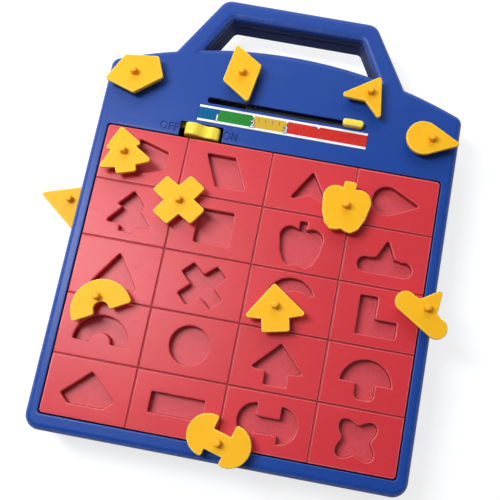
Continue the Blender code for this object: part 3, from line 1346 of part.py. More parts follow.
def make_movement_top_plate():
    plate = prism([plate_outline()], TOP_PLATE_LOW, TOP_PLATE_TOP)
    root = TOP_PLATE_TOP - PLATE_THICKNESS / 2
    rail_inner = LATCH_WIDTH / 2 + GAP
    rails = []
    for side in (-1, 1):
        left, right = sorted((
            WINDING_ARBOR_X + side * rail_inner, WINDING_ARBOR_X + side * (rail_inner + LATCH_RAIL_WIDTH)
        ))
        rails.append(box((left, PLATE_FRONT + GAP, root), (right, LATCH_PIN_PLACE, LATCH_TOP)))
    for left in (PLATE_LEFT + PILLAR_INSET, PLATE_RIGHT - PILLAR_INSET - RACK_PAD_LENGTH):
        rails.append(box(
            (left, SLOT_PLACE - RACK_PAD_WIDTH / 2, root),
            (left + RACK_PAD_LENGTH, SLOT_PLACE + RACK_PAD_WIDTH / 2, RACK_LOW - GAP),
        ))
    joined(plate, rails)
    low, high = TOP_PLATE_LOW - OVERRUN, RACK_LOW
    holes = [cylinder(*WINDING_ARBOR, low, high, ARBOR_RADIUS + GAP)]
    for x, y in (SECOND_ARBOR, ESCAPE_ARBOR, PALLET_ARBOR):
        holes.append(cylinder(x, y, low, high, PIVOT_RADIUS + GAP, FINE_SIDES))
    for x, y in PILLARS:
        holes.append(cylinder(x, y, low, high, SMALL_SCREW_RADIUS + GAP, FINE_SIDES))
    cut(plate, holes)
    return make_piece("movement_top_plate", plate, steel())


def make_movement_screws():
    for number, (x, y) in enumerate(PILLARS, 1):
        make_screw(
            f"plate_screw_{number}", x, y, TOP_PLATE_TOP, SMALL_SCREW_LENGTH, SMALL_SCREW_RADIUS,
            SMALL_HEAD_RADIUS, SMALL_HEAD_HEIGHT, False,
        )
    for number, (x, y) in enumerate(BASE_SCREWS, 1):
        make_screw(
            f"base_screw_{number}", x, y, BASE_PLATE_TOP, BASE_SCREW_LENGTH, SMALL_SCREW_RADIUS,
            SMALL_HEAD_RADIUS, SMALL_HEAD_HEIGHT, False,
        )


# The latch and the switch

def make_latch_plate():
    plate = box(
        (WINDING_ARBOR_X - LATCH_WIDTH / 2, LATCH_TIP, LATCH_LOW),
        (WINDING_ARBOR_X + LATCH_WIDTH / 2, LATCH_PIN_PLACE + LATCH_TAIL, LATCH_TOP),
    )
    pin = cylinder(
        WINDING_ARBOR_X, LATCH_PIN_PLACE, LATCH_TOP - LATCH_THICKNESS / 2,
        RACK_LOW + RACK_GROOVE_DEPTH - GAP, LATCH_PIN_RADIUS, FINE_SIDES,
    )
    joined(plate, [pin])
    return make_piece("latch_plate", plate, steel(), (WINDING_ARBOR_X, LATCH_PIN_PLACE, LATCH_LOW))


def rocker_profile():
    """The rocker from the front, round its axis: two raised ends over a thicker middle."""
    half = ROCKER_LENGTH / 2
    top = []
    for step in range(ROCKER_TOP_STEPS + 1):
        x = half - ROCKER_LENGTH * step / ROCKER_TOP_STEPS
        dip = ROCKER_DIP * math.cos(math.pi * x / ROCKER_LENGTH) ** 2
        top.append((x, ROCKER_TOP - dip))
    belly = ROCKER_BELLY_SHARE * half
    end_low = -ROCKER_BOTTOM + ROCKER_END_CUT
    return [(-half, end_low), (-belly, -ROCKER_BOTTOM), (belly, -ROCKER_BOTTOM), (half, end_low), *top]


def make_switch_rocker():
    half = (ROCKER_REAR - ROCKER_FRONT) / 2
    body = prism([rocker_profile()], -half, half, Matrix.Rotation(math.radians(90), 4, "X"))
    outer = -FINGER_PLACE - FINGER_WIDTH / 2
    arm = box(
        (outer, 0, -ROCKER_BOTTOM), (-ROCKER_LENGTH / 2 + FINGER_WIDTH, half + FINGER_REACH, OVERRUN / 2)
    )
    finger = box(
        (outer, half + OVERRUN / 2, -FINGER_DROP), (outer + FINGER_WIDTH, half + FINGER_REACH, 0)
    )
    joined(body, [arm, finger])
    bore = lying_cylinder(0, 0, ROCKER_FRONT_WALL - half, half + OVERRUN, SWITCH_PIN_RADIUS + GAP, FINE_SIDES)
    cut(body, [bore])
    place = Matrix.Translation((ROCKER_X, (ROCKER_FRONT + ROCKER_REAR) / 2, ROCKER_AXIS_HEIGHT))
    tilt = Matrix.Rotation(math.radians(ROCKER_TILT_DEG), 4, "Y")
    return make_piece("switch_rocker", body, lemon_plastic(), place=place @ tilt)


def make_switch_pin():
    front = ROCKER_FRONT + ROCKER_FRONT_WALL + GAP
    pin = lying_cylinder(
        ROCKER_X, ROCKER_AXIS_HEIGHT, front, front + SWITCH_PIN_LENGTH, SWITCH_PIN_RADIUS, FINE_SIDES
    )
    return make_piece("switch_pin", pin, steel())


# The loose shapes

def make_shape_piece(shape, x, y, bottom, turn_deg):
    """A flange over a plug that fits its recess, with a knob to hold it by."""
    outline = shape_outline(shape)
    flange_top = PLUG_DEPTH + FLANGE_THICKNESS
    flange = prism([offset_outline(outline, FLANGE_LIP)], PLUG_DEPTH, flange_top)
    plug = prism([offset_outline(outline, -PLUG_CLEARANCE)], 0, flange_top - FLANGE_THICKNESS / 2)
    knob_x, knob_y = KNOB_PLACE_SHARES.get(shape, (0, 0))
    knob = cylinder(
        SHAPE_REACH * knob_x, SHAPE_REACH * knob_y, flange_top - FLANGE_THICKNESS / 2,
        flange_top + KNOB_HEIGHT, KNOB_RADIUS, FINE_SIDES,
    )
    joined(flange, [plug, knob])
    place = Matrix.Translation((x, y, bottom)) @ Matrix.Rotation(math.radians(turn_deg), 4, "Z")
    return make_piece(f"{shape}_piece", flange, amber_plastic(), place=place)


def make_shape_pieces():
    above = CASE_HEIGHT + GAP
    for shape, (x_share, y_share, turn_deg) in TRAY_LYING_SHARES.items():
        make_shape_piece(shape, TRAY_HALF_WIDTH * x_share, TRAY_HALF_DEPTH * y_share, above, turn_deg)
    for shape, (x_share, y_share, turn_deg) in PANEL_LYING_SHARES.items():
        place_y = WINDOW_HALF_DEPTH + PANEL_DEPTH * y_share
        make_shape_piece(shape, CASE_HALF_WIDTH * x_share, place_y, above, turn_deg)
    for shape, (x_share, y_share, turn_deg) in FRONT_LYING_SHARES.items():
        make_shape_piece(shape, PIECE_PITCH * x_share, -CASE_FRONT - PIECE_PITCH * y_share, 0, turn_deg)
    for shape, (x_share, y_share, turn_deg) in SIDE_LYING_SHARES.items():
        place_x = -CASE_HALF_WIDTH - PIECE_PITCH * x_share
        make_shape_piece(shape, place_x, TRAY_HALF_DEPTH * y_share, 0, turn_deg)


def build():
    make_case_top()
    make_case_bottom()
    make_case_screws()
    make_tray()
    for number, (x, y) in enumerate(corner_tiles(), 1):
        make_tray_spring(f"tray_spring_{number}", x, y)
    make_timer_scale()
    make_timer_pointer()
    make_timer_rack()
    make_rack_pinion()
    make_winding_wheel()
    make_second_wheel()
    make_escape_wheel()
    make_pallet_lever()
    make_mainspring()
    make_movement_base()
    make_movement_top_plate()
    make_movement_screws()
    make_latch_plate()
    make_switch_rocker()
    make_switch_pin()
    make_shape_pieces()
    bpy.data.collections.remove(WORK)


build()
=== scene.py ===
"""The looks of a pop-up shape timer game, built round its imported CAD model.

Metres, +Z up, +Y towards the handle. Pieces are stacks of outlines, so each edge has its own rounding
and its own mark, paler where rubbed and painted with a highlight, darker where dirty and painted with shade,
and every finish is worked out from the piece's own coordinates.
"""

import json
from functools import cache
from math import atan2, copysign, cos, degrees, dist, pi, radians, remainder, sin, sqrt, tan, tau

import bpy
from bpy.props import FloatProperty, FloatVectorProperty, IntProperty, PointerProperty
from bpy.types import Operator, Panel, PropertyGroup
from mathutils import Matrix, Vector, geometry

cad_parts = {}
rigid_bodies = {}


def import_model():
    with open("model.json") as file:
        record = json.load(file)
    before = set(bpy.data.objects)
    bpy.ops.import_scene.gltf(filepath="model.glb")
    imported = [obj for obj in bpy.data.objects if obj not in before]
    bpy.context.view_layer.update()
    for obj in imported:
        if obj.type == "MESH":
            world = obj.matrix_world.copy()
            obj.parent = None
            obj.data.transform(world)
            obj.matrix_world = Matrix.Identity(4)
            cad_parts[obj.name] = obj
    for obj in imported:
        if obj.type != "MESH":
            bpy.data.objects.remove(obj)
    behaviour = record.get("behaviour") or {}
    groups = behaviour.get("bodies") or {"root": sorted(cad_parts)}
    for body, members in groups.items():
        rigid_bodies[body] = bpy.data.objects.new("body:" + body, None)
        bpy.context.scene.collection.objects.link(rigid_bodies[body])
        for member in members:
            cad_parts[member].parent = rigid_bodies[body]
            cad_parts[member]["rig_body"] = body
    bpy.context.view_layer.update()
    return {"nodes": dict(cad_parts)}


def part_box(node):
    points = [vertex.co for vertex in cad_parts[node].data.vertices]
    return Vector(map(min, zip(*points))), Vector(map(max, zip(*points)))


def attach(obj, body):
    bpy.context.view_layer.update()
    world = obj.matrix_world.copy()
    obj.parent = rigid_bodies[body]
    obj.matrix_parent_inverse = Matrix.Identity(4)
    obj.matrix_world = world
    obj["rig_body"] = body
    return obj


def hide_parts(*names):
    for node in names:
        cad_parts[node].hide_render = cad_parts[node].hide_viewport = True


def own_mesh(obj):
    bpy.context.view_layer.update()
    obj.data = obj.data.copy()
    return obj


bl_info = {
    "name": "Pop-up shape timer game",
    "version": (1, 0, 0),
    "blender": (4, 5, 0),
    "location": "3D View > Sidebar > Shape game",
    "description": "Builds the finished pieces of a pop-up shape timer game on its CAD frame",
    "category": "Object",
}

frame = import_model()

MM = 0.001

# Heights
CASE_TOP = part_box("shape_tray")[1].z
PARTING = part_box("case_top")[0].z
LOWER_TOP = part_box("case_bottom")[1].z
WALL = 2.5 * MM
CEILING = CASE_TOP - WALL
HANDLE_LOW = CASE_TOP - 24 * MM
SCREW_SEAT = 12 * MM
HANDLE_SCREW_SEAT = HANDLE_LOW + 4 * MM
RECESS_FLOOR = CASE_TOP - 6 * MM
CUP_BOTTOM = RECESS_FLOOR - 1.6 * MM
SKIRT_BOTTOM = CASE_TOP - 14 * MM
TAB_TOP = SKIRT_BOTTOM + 3 * MM
RIB_LOW = TAB_TOP + 0.3 * MM

# Plan of the tray and the case
TRAY_HALF_WIDTH = 107.7 * MM
TRAY_HALF_DEPTH = 92.45 * MM
TRAY_CORNER = 2.2 * MM
RECESS_CORNER = 1.0 * MM
COLUMN_PITCH = 0.5107 * TRAY_HALF_WIDTH
ROW_PITCH = 0.40584 * TRAY_HALF_DEPTH
REACH = 0.42644 * ROW_PITCH
WINDOW_HALF_WIDTH = TRAY_HALF_WIDTH + 1.2 * MM
WINDOW_HALF_DEPTH = TRAY_HALF_DEPTH + 1.2 * MM
CASE_HALF_WIDTH = WINDOW_HALF_WIDTH + 7.1 * MM
CASE_FRONT = -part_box("case_bottom")[0].y
CASE_CREST = 160.8 * MM
CREST_RADIUS = 2.62069 * CASE_HALF_WIDTH
PANEL_DEPTH = CASE_CREST - WINDOW_HALF_DEPTH
HANDLE_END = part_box("case_top")[1].y
HANDLE_BASE_HALF = 0.65517 * CASE_HALF_WIDTH
HANDLE_TOP_HALF = 0.43966 * CASE_HALF_WIDTH
GRIP_BASE_HALF = HANDLE_BASE_HALF - 18.6 * MM
GRIP_TOP_HALF = HANDLE_TOP_HALF - 7.5 * MM
GRIP_END = HANDLE_END - 13.1 * MM
HANDLE_CORNER = 9 * MM
GRIP_CORNER = 4 * MM
SLOT_MIDDLE = 2.85 * MM
SLOT_HALF = 51.35 * MM
SLOT_PLACE = WINDOW_HALF_DEPTH + 26.65 * MM
SCALE_LOW, SCALE_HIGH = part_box("timer_scale")
ZONE_EDGES = (-39.4 * MM, -16.9 * MM, 4.9 * MM)
LAST_NOTCH_X = 25.4 * MM
NUMERAL_PLACES = (("1", -40.2 * MM), ("2", -16.9 * MM), ("3", 4.6 * MM))
NUMERALS_Y = 108.9 * MM
FIRST_TICK = (-13.1 * MM, 112.4 * MM)
SWITCH_LEFT = -62.4 * MM
SWITCH_RIGHT = -34.3 * MM
SWITCH_REAR = WINDOW_HALF_DEPTH + 9.55 * MM
ROCKER_X = -48.05 * MM
SWITCH_MARKS_Y = 98.4 * MM
WINDING_X = -18 * MM
SHAPE_LIP = 1.6 * MM
PIECE_PITCH = 2 * (REACH + SHAPE_LIP) + 4.8 * MM
COLUMN_EDGES = (-TRAY_HALF_WIDTH, -COLUMN_PITCH, 0, COLUMN_PITCH, TRAY_HALF_WIDTH)
ROW_EDGES = (
    TRAY_HALF_DEPTH, 1.5 * ROW_PITCH, 0.5 * ROW_PITCH, -0.5 * ROW_PITCH, -1.5 * ROW_PITCH, -TRAY_HALF_DEPTH,
)

# Shapes in shares of their reach: a pair is a corner, five numbers are an arc's centre, radius and angles.
# The mirrored ones are right halves, from top to bottom.
WHOLE_OUTLINE_SHARES = {
    "pentagon": ((0.98, 0.39), (-0.20, 0.73), (-1.06, 0.0), (-0.20, -0.73), (0.98, -0.39)),
    "parallelogram": ((-0.88, 0.66), (-0.29, -0.66), (0.88, -0.66), (0.29, 0.66)),
    "teardrop": ((-0.31, 0.0, 0.59, 63, 297), (1.0, 0.0)),
    "saltire": (
        (0.44, 0.0), (0.88, 0.43), (0.46, 0.84), (0.0, 0.44), (-0.46, 0.84), (-0.88, 0.43),
        (-0.44, 0.0), (-0.88, -0.43), (-0.46, -0.84), (0.0, -0.44), (0.46, -0.84), (0.88, -0.43),
    ),
    "crescent": ((0.0, 0.0, 0.94, 24, 224), (0.23, -0.34, 0.81, 193, 55)),
    "ell": ((-0.72, 0.80), (-0.72, -0.73), (0.83, -0.73), (0.83, -0.07), (-0.03, -0.07), (-0.03, 0.80)),
    "arch": ((0.0, -0.52, 1.06, 0, 180), (0.0, -0.52, 0.40, 180, 0)),
    "circle": ((0.0, 0.0, 0.76, 0, 350),),
}
MIRRORED_OUTLINE_SHARES = {
    "chevron": ((0.0, 0.66), (0.78, -0.62), (0.0, -0.31)),
    "fir": ((0.0, 0.89), (0.56, 0.25), (0.31, 0.20), (0.88, -0.48), (0.30, -0.54), (0.30, -0.79)),
    "square": ((0.70, 0.70), (0.70, -0.70)),
    "apple": (
        (0.15, 0.88), (0.15, 0.56), (0.44, 0.22, 0.41, 110, 0), (0.76, -0.36), (0.58, -0.78),
        (0.38, -0.94), (0.20, -0.92), (0.0, -0.84),
    ),
    "tri_lobe": ((0.0, 0.76), (0.36, 0.01), (0.76, -0.34, 0.31, 110, -90)),
    "triangle": ((0.0, 0.69), (0.91, -0.66)),
    "arrow": ((0.0, 0.72), (1.0, -0.34), (0.43, -0.41), (0.43, -0.91)),
    "mushroom": ((0.0, -0.28, 0.99, 90, 5), (0.375, -0.20), (0.155, -0.60, 0.22, 0, -90)),
    "gem": ((0.0, 0.68), (1.03, -0.28), (0.69, -0.61)),
    "rectangle": ((1.03, 0.39), (1.03, -0.39)),
    "bone": ((0.45, 0.21), (0.45, 0.0, 0.69, 90, -90), (0.45, -0.39)),
}
KNOB_SHARES = {"crescent": (-0.38, 0.56), "ell": (-0.38, -0.39), "bone": (0.0, -0.09)}
TRAY_ROWS = (
    ("pentagon", "parallelogram", "chevron", "teardrop"),
    ("fir", "square", "apple", "tri_lobe"),
    ("triangle", "saltire", "crescent", "ell"),
    ("arch", "circle", "arrow", "mushroom"),
    ("gem", "rectangle", "bone", "quatrefoil"),
)

# Where the loose shapes lie: on the tray, on the timer's panel, in front of the case and beside it
TRAY_LYING_SHARES = {
    "saltire": (-0.477, 0.531, 11), "apple": (0.474, 0.696, -3), "arch": (-0.808, -0.207, 29),
    "arrow": (0.181, -0.053, 12), "fir": (-0.854, 0.800, 18), "tri_lobe": (1.021, 0.108, -32),
    "bone": (0.019, -0.963, -16),
}
PANEL_LYING_SHARES = {
    "pentagon": (-0.836, 0.497, 23), "parallelogram": (-0.250, 0.678, -33),
    "chevron": (0.466, 0.705, -24), "teardrop": (0.836, 0.348, -1),
}
FRONT_LYING_SHARES = {
    "square": (0.12, 1.08, 14), "circle": (1.12, 1.08, 0), "ell": (2.12, 1.08, -20),
    "rectangle": (3.12, 1.08, 8), "mushroom": (0.12, 2.08, -12), "gem": (1.12, 2.08, 25),
    "quatrefoil": (2.12, 2.08, 10), "crescent": (3.12, 2.08, -30),
}
SIDE_LYING_SHARES = {"triangle": (0.375, 0.50, -38)}

# Engraved letters in shares of their height, as closed outlines. The O is an oval ring.
LETTER_F = ((0, 0), (0.15, 0), (0.15, 0.43), (0.48, 0.43), (0.48, 0.57), (0.15, 0.57), (0.15, 0.86),
            (0.55, 0.86), (0.55, 1), (0, 1))
LETTER_N = ((0, 0), (0.14, 0), (0.14, 0.72), (0.56, 0), (0.72, 0), (0.72, 1), (0.58, 1), (0.58, 0.28),
            (0.16, 1), (0, 1))


# Outlines

def arc(centre_x, centre_y, radius, start_deg, end_deg, step_deg=8):
    """Points along an arc, both ends included."""
    steps = max(1, round(abs(end_deg - start_deg) / step_deg))
    angles = [radians(start_deg + (end_deg - start_deg) * step / steps) for step in range(steps + 1)]
    return [(centre_x + radius * cos(a), centre_y + radius * sin(a)) for a in angles]


def circle(x, y, radius, sides=32, height=None):
    """A circle, or an ellipse where its half height is given."""
    angles = [tau * side / sides for side in range(sides)]
    return [(x + radius * cos(a), y + (height or radius) * sin(a)) for a in angles]


def rounds(x, y, *levels):
    """Levels of a round post or hole, each given as (radius in millimetres, height, wear)."""
    return [(circle(x, y, radius * MM), height, wear) for radius, height, wear in levels]


def doubled_area(points):
    """Twice the area inside an outline, negative when it runs clockwise."""
    return sum(p[0] * q[1] - q[0] * p[1] for p, q in zip(points, points[1:] + points[:1]))


def counterclockwise(points):
    return points if doubled_area(points) > 0 else points[::-1]


def from_shares(items):
    points = []
    for item in items:
        points += [item] if len(item) == 2 else arc(*item)
    return [(REACH * x, REACH * y) for x, y in points]


def bends(points):
    """Each corner of an outline as (x, y, direction of the edge before it, turn to the left)."""
    for index, (x, y, *_) in enumerate(points):
        before, after = points[index - 1], points[(index + 1) % len(points)]
        arrival = atan2(y - before[1], x - before[0])
        yield x, y, arrival, remainder(atan2(after[1] - y, after[0] - x) - arrival, tau)


def softened(outline, radius):
    """An outline whose sharp corners become small arcs, where its edges leave room for them."""
    corners = []
    for index, (x, y, _, turn) in enumerate(bends(outline)):
        edges = [dist((x, y), outline[other % len(outline)]) for other in (index - 1, index + 1)]
        fits = abs(turn) > 0.35 and 0.45 * min(edges) > radius * tan(abs(turn) / 2)
        corners.append((x, y, radius if fits else 0))
    return rounded_outline(corners, 15)


def shape_outline(shape):
    """The outline of a shape's recess, round the middle of its tile."""
    if shape == "quatrefoil":
        lobes = [REACH * (0.73 + 0.19 * cos(4 * (tau * step / 72 - pi / 4))) for step in range(72)]
        return [(reach * x, reach * y) for reach, (x, y) in zip(lobes, circle(0, 0, 1, 72))]
    if shape in WHOLE_OUTLINE_SHARES:
        return counterclockwise(from_shares(WHOLE_OUTLINE_SHARES[shape]))
    half = from_shares(MIRRORED_OUTLINE_SHARES[shape])
    return counterclockwise(half + [(-x, y) for x, y in reversed(half) if x > 1e-6])


def offset(points, distance, round_steps=0):
    """A counterclockwise outline moved outwards. Outer corners become arcs of round_steps steps.

    An edge that would turn over is drawn together, so outlines of one family keep the same count.
    """
    moved, sources = [], []
    for x, y, arrival, turn in bends(points):
        if round_steps and turn > 0.3:
            for step in range(round_steps + 1):
                angle = arrival - pi / 2 + turn * step / round_steps
                moved.append((x + distance * cos(angle), y + distance * sin(angle)))
                sources.append((x, y))
        else:
            angle = arrival - pi / 2 + turn / 2
            length = distance / max(cos(turn / 2), 0.35)
            moved.append((x + length * cos(angle), y + length * sin(angle)))
            sources.append((x, y))
    for _ in range(3):
        for index in range(len(moved)):
            following = (index + 1) % len(moved)
            (x, y), (next_x, next_y) = moved[index], moved[following]
            (old_x, old_y), (old_next_x, old_next_y) = sources[index], sources[following]
            if (next_x - x) * (old_next_x - old_x) + (next_y - y) * (old_next_y - old_y) < 0:
                moved[index] = moved[following] = ((x + next_x) / 2, (y + next_y) / 2)
    return moved


def led_round(outline, x, y, radius):
    """A counterclockwise outline led round a disc that crosses it, so that the disc stays outside."""
    led = []
    entry = 0.0
    for (start_x, start_y), (end_x, end_y) in zip(outline, outline[1:] + outline[:1]):
        run_x, run_y = end_x - start_x, end_y - start_y
        square = run_x**2 + run_y**2
        half = (start_x - x) * run_x + (start_y - y) * run_y
        beyond = (start_x - x) ** 2 + (start_y - y) ** 2 - radius**2
        root = sqrt(max(half**2 - square * beyond, 0))
        inside = beyond < 0
        if not inside:
            led.append((start_x, start_y))
        for share in ((-half - root) / square, (-half + root) / square):
            if root == 0 or not 0 < share <= 1:
                continue
            angle = degrees(atan2(start_y + share * run_y - y, start_x + share * run_x - x))
            if inside:
                led += arc(x, y, radius, entry, entry - (entry - angle) % 360)
            entry = angle
            inside = not inside
    return led


def rounded_outline(corners, step_deg=8):
    """A counterclockwise outline from (x, y, radius) corners, whose round ones become arcs."""
    points = []
    for (*_, radius), (x, y, arrival, turn) in zip(corners, bends(corners)):
        if radius == 0:
            points.append((x, y))
            continue
        setback = radius * tan(abs(turn) / 2)
        side = copysign(1, turn)
        centre_x = x - setback * cos(arrival) - side * radius * sin(arrival)
        centre_y = y - setback * sin(arrival) + side * radius * cos(arrival)
        start = degrees(arrival - side * pi / 2)
        points += arc(centre_x, centre_y, radius, start, start + degrees(turn), step_deg)
    return points


def rectangle(left, front, right, rear, radius=0.0):
    return rounded_outline(
        [(left, front, radius), (right, front, radius), (right, rear, radius), (left, rear, radius)], 10
    )


def moved_outline(points, x, y):
    return [(x + point_x, y + point_y) for point_x, point_y in points]


def crest_y(x):
    """The rear edge of the case, a long arc."""
    return CASE_CREST - CREST_RADIUS + sqrt(CREST_RADIUS**2 - x**2)


def crest(right, left, steps):
    """Corners along the crest between two places, without both ends."""
    places = [right + (left - right) * step / steps for step in range(1, steps)]
    return [(x, crest_y(x), 0) for x in places]


def case_shoulder(side):
    return (side * CASE_HALF_WIDTH, crest_y(CASE_HALF_WIDTH), 6 * MM)


CASE_FRONT_CORNERS = (
    (-CASE_HALF_WIDTH, -CASE_FRONT, 9.5 * MM), (CASE_HALF_WIDTH, -CASE_FRONT, 9.5 * MM), case_shoulder(1),
)
HANDLE_CORNERS = ((HANDLE_TOP_HALF, HANDLE_END, HANDLE_CORNER), (-HANDLE_TOP_HALF, HANDLE_END, HANDLE_CORNER))


def case_outline():
    """The case without its handle."""
    return rounded_outline([*CASE_FRONT_CORNERS, *crest(CASE_HALF_WIDTH, -CASE_HALF_WIDTH, 48), case_shoulder(-1)])


def whole_outline():
    """The case and its handle in one."""
    base = crest_y(HANDLE_BASE_HALF)
    return rounded_outline([
        *CASE_FRONT_CORNERS, *crest(CASE_HALF_WIDTH, HANDLE_BASE_HALF, 10), (HANDLE_BASE_HALF, base, 1.2 * MM),
        *HANDLE_CORNERS, (-HANDLE_BASE_HALF, base, 1.2 * MM), *crest(-HANDLE_BASE_HALF, -CASE_HALF_WIDTH, 10),
        case_shoulder(-1),
    ])


def grip_outline():
    """The opening in the handle, with the crest as its front edge."""
    base = crest_y(GRIP_BASE_HALF)
    return rounded_outline([
        (-GRIP_BASE_HALF, base, 0), *crest(-GRIP_BASE_HALF, GRIP_BASE_HALF, 24), (GRIP_BASE_HALF, base, 0),
        (GRIP_TOP_HALF, GRIP_END, GRIP_CORNER), (-GRIP_TOP_HALF, GRIP_END, GRIP_CORNER),
    ])


def tile_centre(column, row):
    return (COLUMN_EDGES[column] + COLUMN_EDGES[column + 1]) / 2, (ROW_EDGES[row] + ROW_EDGES[row + 1]) / 2


def corner_tiles():
    return [tile_centre(column, row) for row in (0, 4) for column in (0, 3)]


def screw_places(handle):
    """The case screws as (x, y), for the case or for its handle."""
    if handle:
        x = (GRIP_TOP_HALF + HANDLE_TOP_HALF) / 2
        return [(side * x, (GRIP_END + HANDLE_END) / 2) for side in (-1, 1)]
    front = -(WINDOW_HALF_DEPTH + 4.35 * MM)
    middle = (CASE_HALF_WIDTH - 12 * MM, WINDOW_HALF_DEPTH + 10.35 * MM)
    rear = (CASE_HALF_WIDTH - 18 * MM, CASE_CREST - 0.2224 * CASE_HALF_WIDTH)
    places = [(-CASE_HALF_WIDTH + 21 * MM, front), (0, front), (CASE_HALF_WIDTH - 21 * MM, front)]
    return places + [(side * x, y) for x, y in (middle, rear) for side in (-1, 1)]


# Closed meshes from stacked outlines

class Shell:
    """The points and faces of one piece, with each point's mark: paler where rubbed and painted with a highlight,
    darker where dirty and painted with shade.
    """

    def __init__(self):
        self.points, self.wear, self.faces, self.paints = [], [], [], []
        self.knob = None

    def ring(self, outline, height, wear):
        start = len(self.points)
        self.points += [Vector((x, y, height)) for x, y in outline]
        self.wear += [wear] * len(outline)
        return list(range(start, len(self.points)))

    def wall(self, first, second, paint=0):
        """Faces between two rings. An outer wall is built upwards, and a hole's wall downwards."""
        for index in range(len(first)):
            following = (index + 1) % len(first)
            self.faces.append((first[index], first[following], second[following], second[index]))
            self.paints.append(paint)

    def stack(self, levels, paint=0):
        """Walls through (outline, height, wear) levels. Returns the first and the last ring."""
        rings = [self.ring(*level) for level in levels]
        for lower, upper in zip(rings, rings[1:]):
            self.wall(lower, upper, paint)
        return rings[0], rings[-1]

    def cap(self, border, holes=(), up=True):
        """A flat face inside a ring and round its holes."""
        rings = [border, *holes]
        flat = [[Vector((self.points[i].x, self.points[i].y, 0)) for i in ring] for ring in rings]
        numbers = [i for ring in rings for i in ring]
        missing = 2 * abs(doubled_area(flat[0])) - sum(abs(doubled_area(ring)) for ring in flat)
        allowed = 0.001 * missing  # what rounding may leave over
        for corners in geometry.tessellate_polygon(flat):
            a, b, c = (numbers[i] for i in corners)
            twice = doubled_area([self.points[i] for i in (a, b, c)])
            missing -= abs(twice)
            self.faces.append((a, b, c) if (twice > 0) == up else (a, c, b))
            self.paints.append(0)
        if abs(missing) > allowed:
            raise ValueError(f"A face at z {self.points[border[0]].z:.4f} has a hole that crosses its border")

    def solid(self, levels):
        """A closed stack with a face at each end."""
        low, high = self.stack(levels)
        self.cap(low, up=False)
        self.cap(high)

    def block(self, low, high):
        """A closed block between two corners."""
        outline = rectangle(*low[:2], *high[:2])
        self.solid([(outline, low[2], 0), (outline, high[2], 0)])

    def transform(self, matrix):
        self.points = [matrix @ point for point in self.points]

    def piece(self, name, materials, body, slot, *nodes):
        """The finished object on its body, standing for its CAD nodes."""
        mesh = bpy.data.meshes.new(name)
        mesh.from_pydata(self.points, [], self.faces)
        # Each point's mark: paler for rubbing and a painted highlight, darker for dirt and painted shade.
        mesh.attributes.new("wear", "FLOAT", "POINT").data.foreach_set("value", self.wear)
        if self.knob is not None:
            away = [number for p in self.points for number in (p.x - self.knob.x, p.y - self.knob.y, 0.0)]
            mesh.attributes.new("from_knob", "FLOAT_VECTOR", "POINT").data.foreach_set("vector", away)
        mesh.polygons.foreach_set("material_index", self.paints)
        finished_object(name, mesh, materials, body, slot, *nodes)


def linked(name, data):
    """A new object in the scene."""
    made = bpy.data.objects.new(name, data)
    bpy.context.scene.collection.objects.link(made)
    return made


def finished_object(name, mesh, materials, body, slot, *nodes):
    """Welds and shades a mesh, bakes its modifiers and puts the object on its body."""
    made = linked(name, mesh)
    for material in materials:
        mesh.materials.append(material)
    weld = made.modifiers.new("weld", "WELD")
    weld.merge_threshold = 0.0004 * MM
    mesh.shade_smooth()
    mesh.set_sharp_from_angle(angle=radians(50))
    weighted = made.modifiers.new("weighted", "WEIGHTED_NORMAL")
    weighted.keep_sharp = True
    weighted.weight = 90
    bake(made)
    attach(made, body)
    if nodes:
        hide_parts(*nodes)
    return made


def bake(made):
    """Replaces an object's mesh by what its modifiers make of it."""
    bpy.context.view_layer.update()
    graph = bpy.context.evaluated_depsgraph_get()
    baked = bpy.data.meshes.new_from_object(made.evaluated_get(graph), depsgraph=graph)
    made.modifiers.clear()
    old = made.data
    made.data = baked
    bpy.data.meshes.remove(old)


def quarter_round(steps):
    """Steps of a rounding from its foot to its top, as shares of its radius inwards and down, and an angle."""
    angles = [pi / 2 * step / steps for step in range(steps + 1)]
    return [(1 - cos(angle), 1 - sin(angle), angle) for angle in angles]


def rounding(outline, height, radius, steps, worn_and_lit, upwards=True):
    """Levels that round an outer edge off inwards, towards a face above or below it."""
    # The edge gets a paler band along its rounding: rubbing plus a painted highlight.
    up = 1 if upwards else -1
    return [
        (offset(outline, -radius * inward), height - up * radius * down, worn_and_lit * sin(2 * angle))
        for inward, down, angle in quarter_round(steps)[::up]
    ]


# Finishes

def arithmetic(operation, swapped=False):
    """A method that works two numbers out with one Math node."""
    def method(self, other):
        return self.math(operation, other, self) if swapped else self.math(operation, self, other)
    return method


class Value:
    """A number in a node tree that adds its Math nodes as it is worked with."""

    def __init__(self, nodes, socket):
        self.nodes = nodes
        self.socket = socket

    def math(self, operation, first, second=0.0):
        settings = {"operation": operation}
        return Value(self.nodes, self.nodes.out("ShaderNodeMath", {0: first, 1: second}, settings))

    def __abs__(self):
        return self.math("ABSOLUTE", self)

    __add__, __radd__ = arithmetic("ADD"), arithmetic("ADD", True)
    __sub__, __rsub__ = arithmetic("SUBTRACT"), arithmetic("SUBTRACT", True)
    __mul__, __rmul__ = arithmetic("MULTIPLY"), arithmetic("MULTIPLY", True)
    __truediv__ = arithmetic("DIVIDE")
    __gt__, __lt__ = arithmetic("GREATER_THAN"), arithmetic("LESS_THAN")


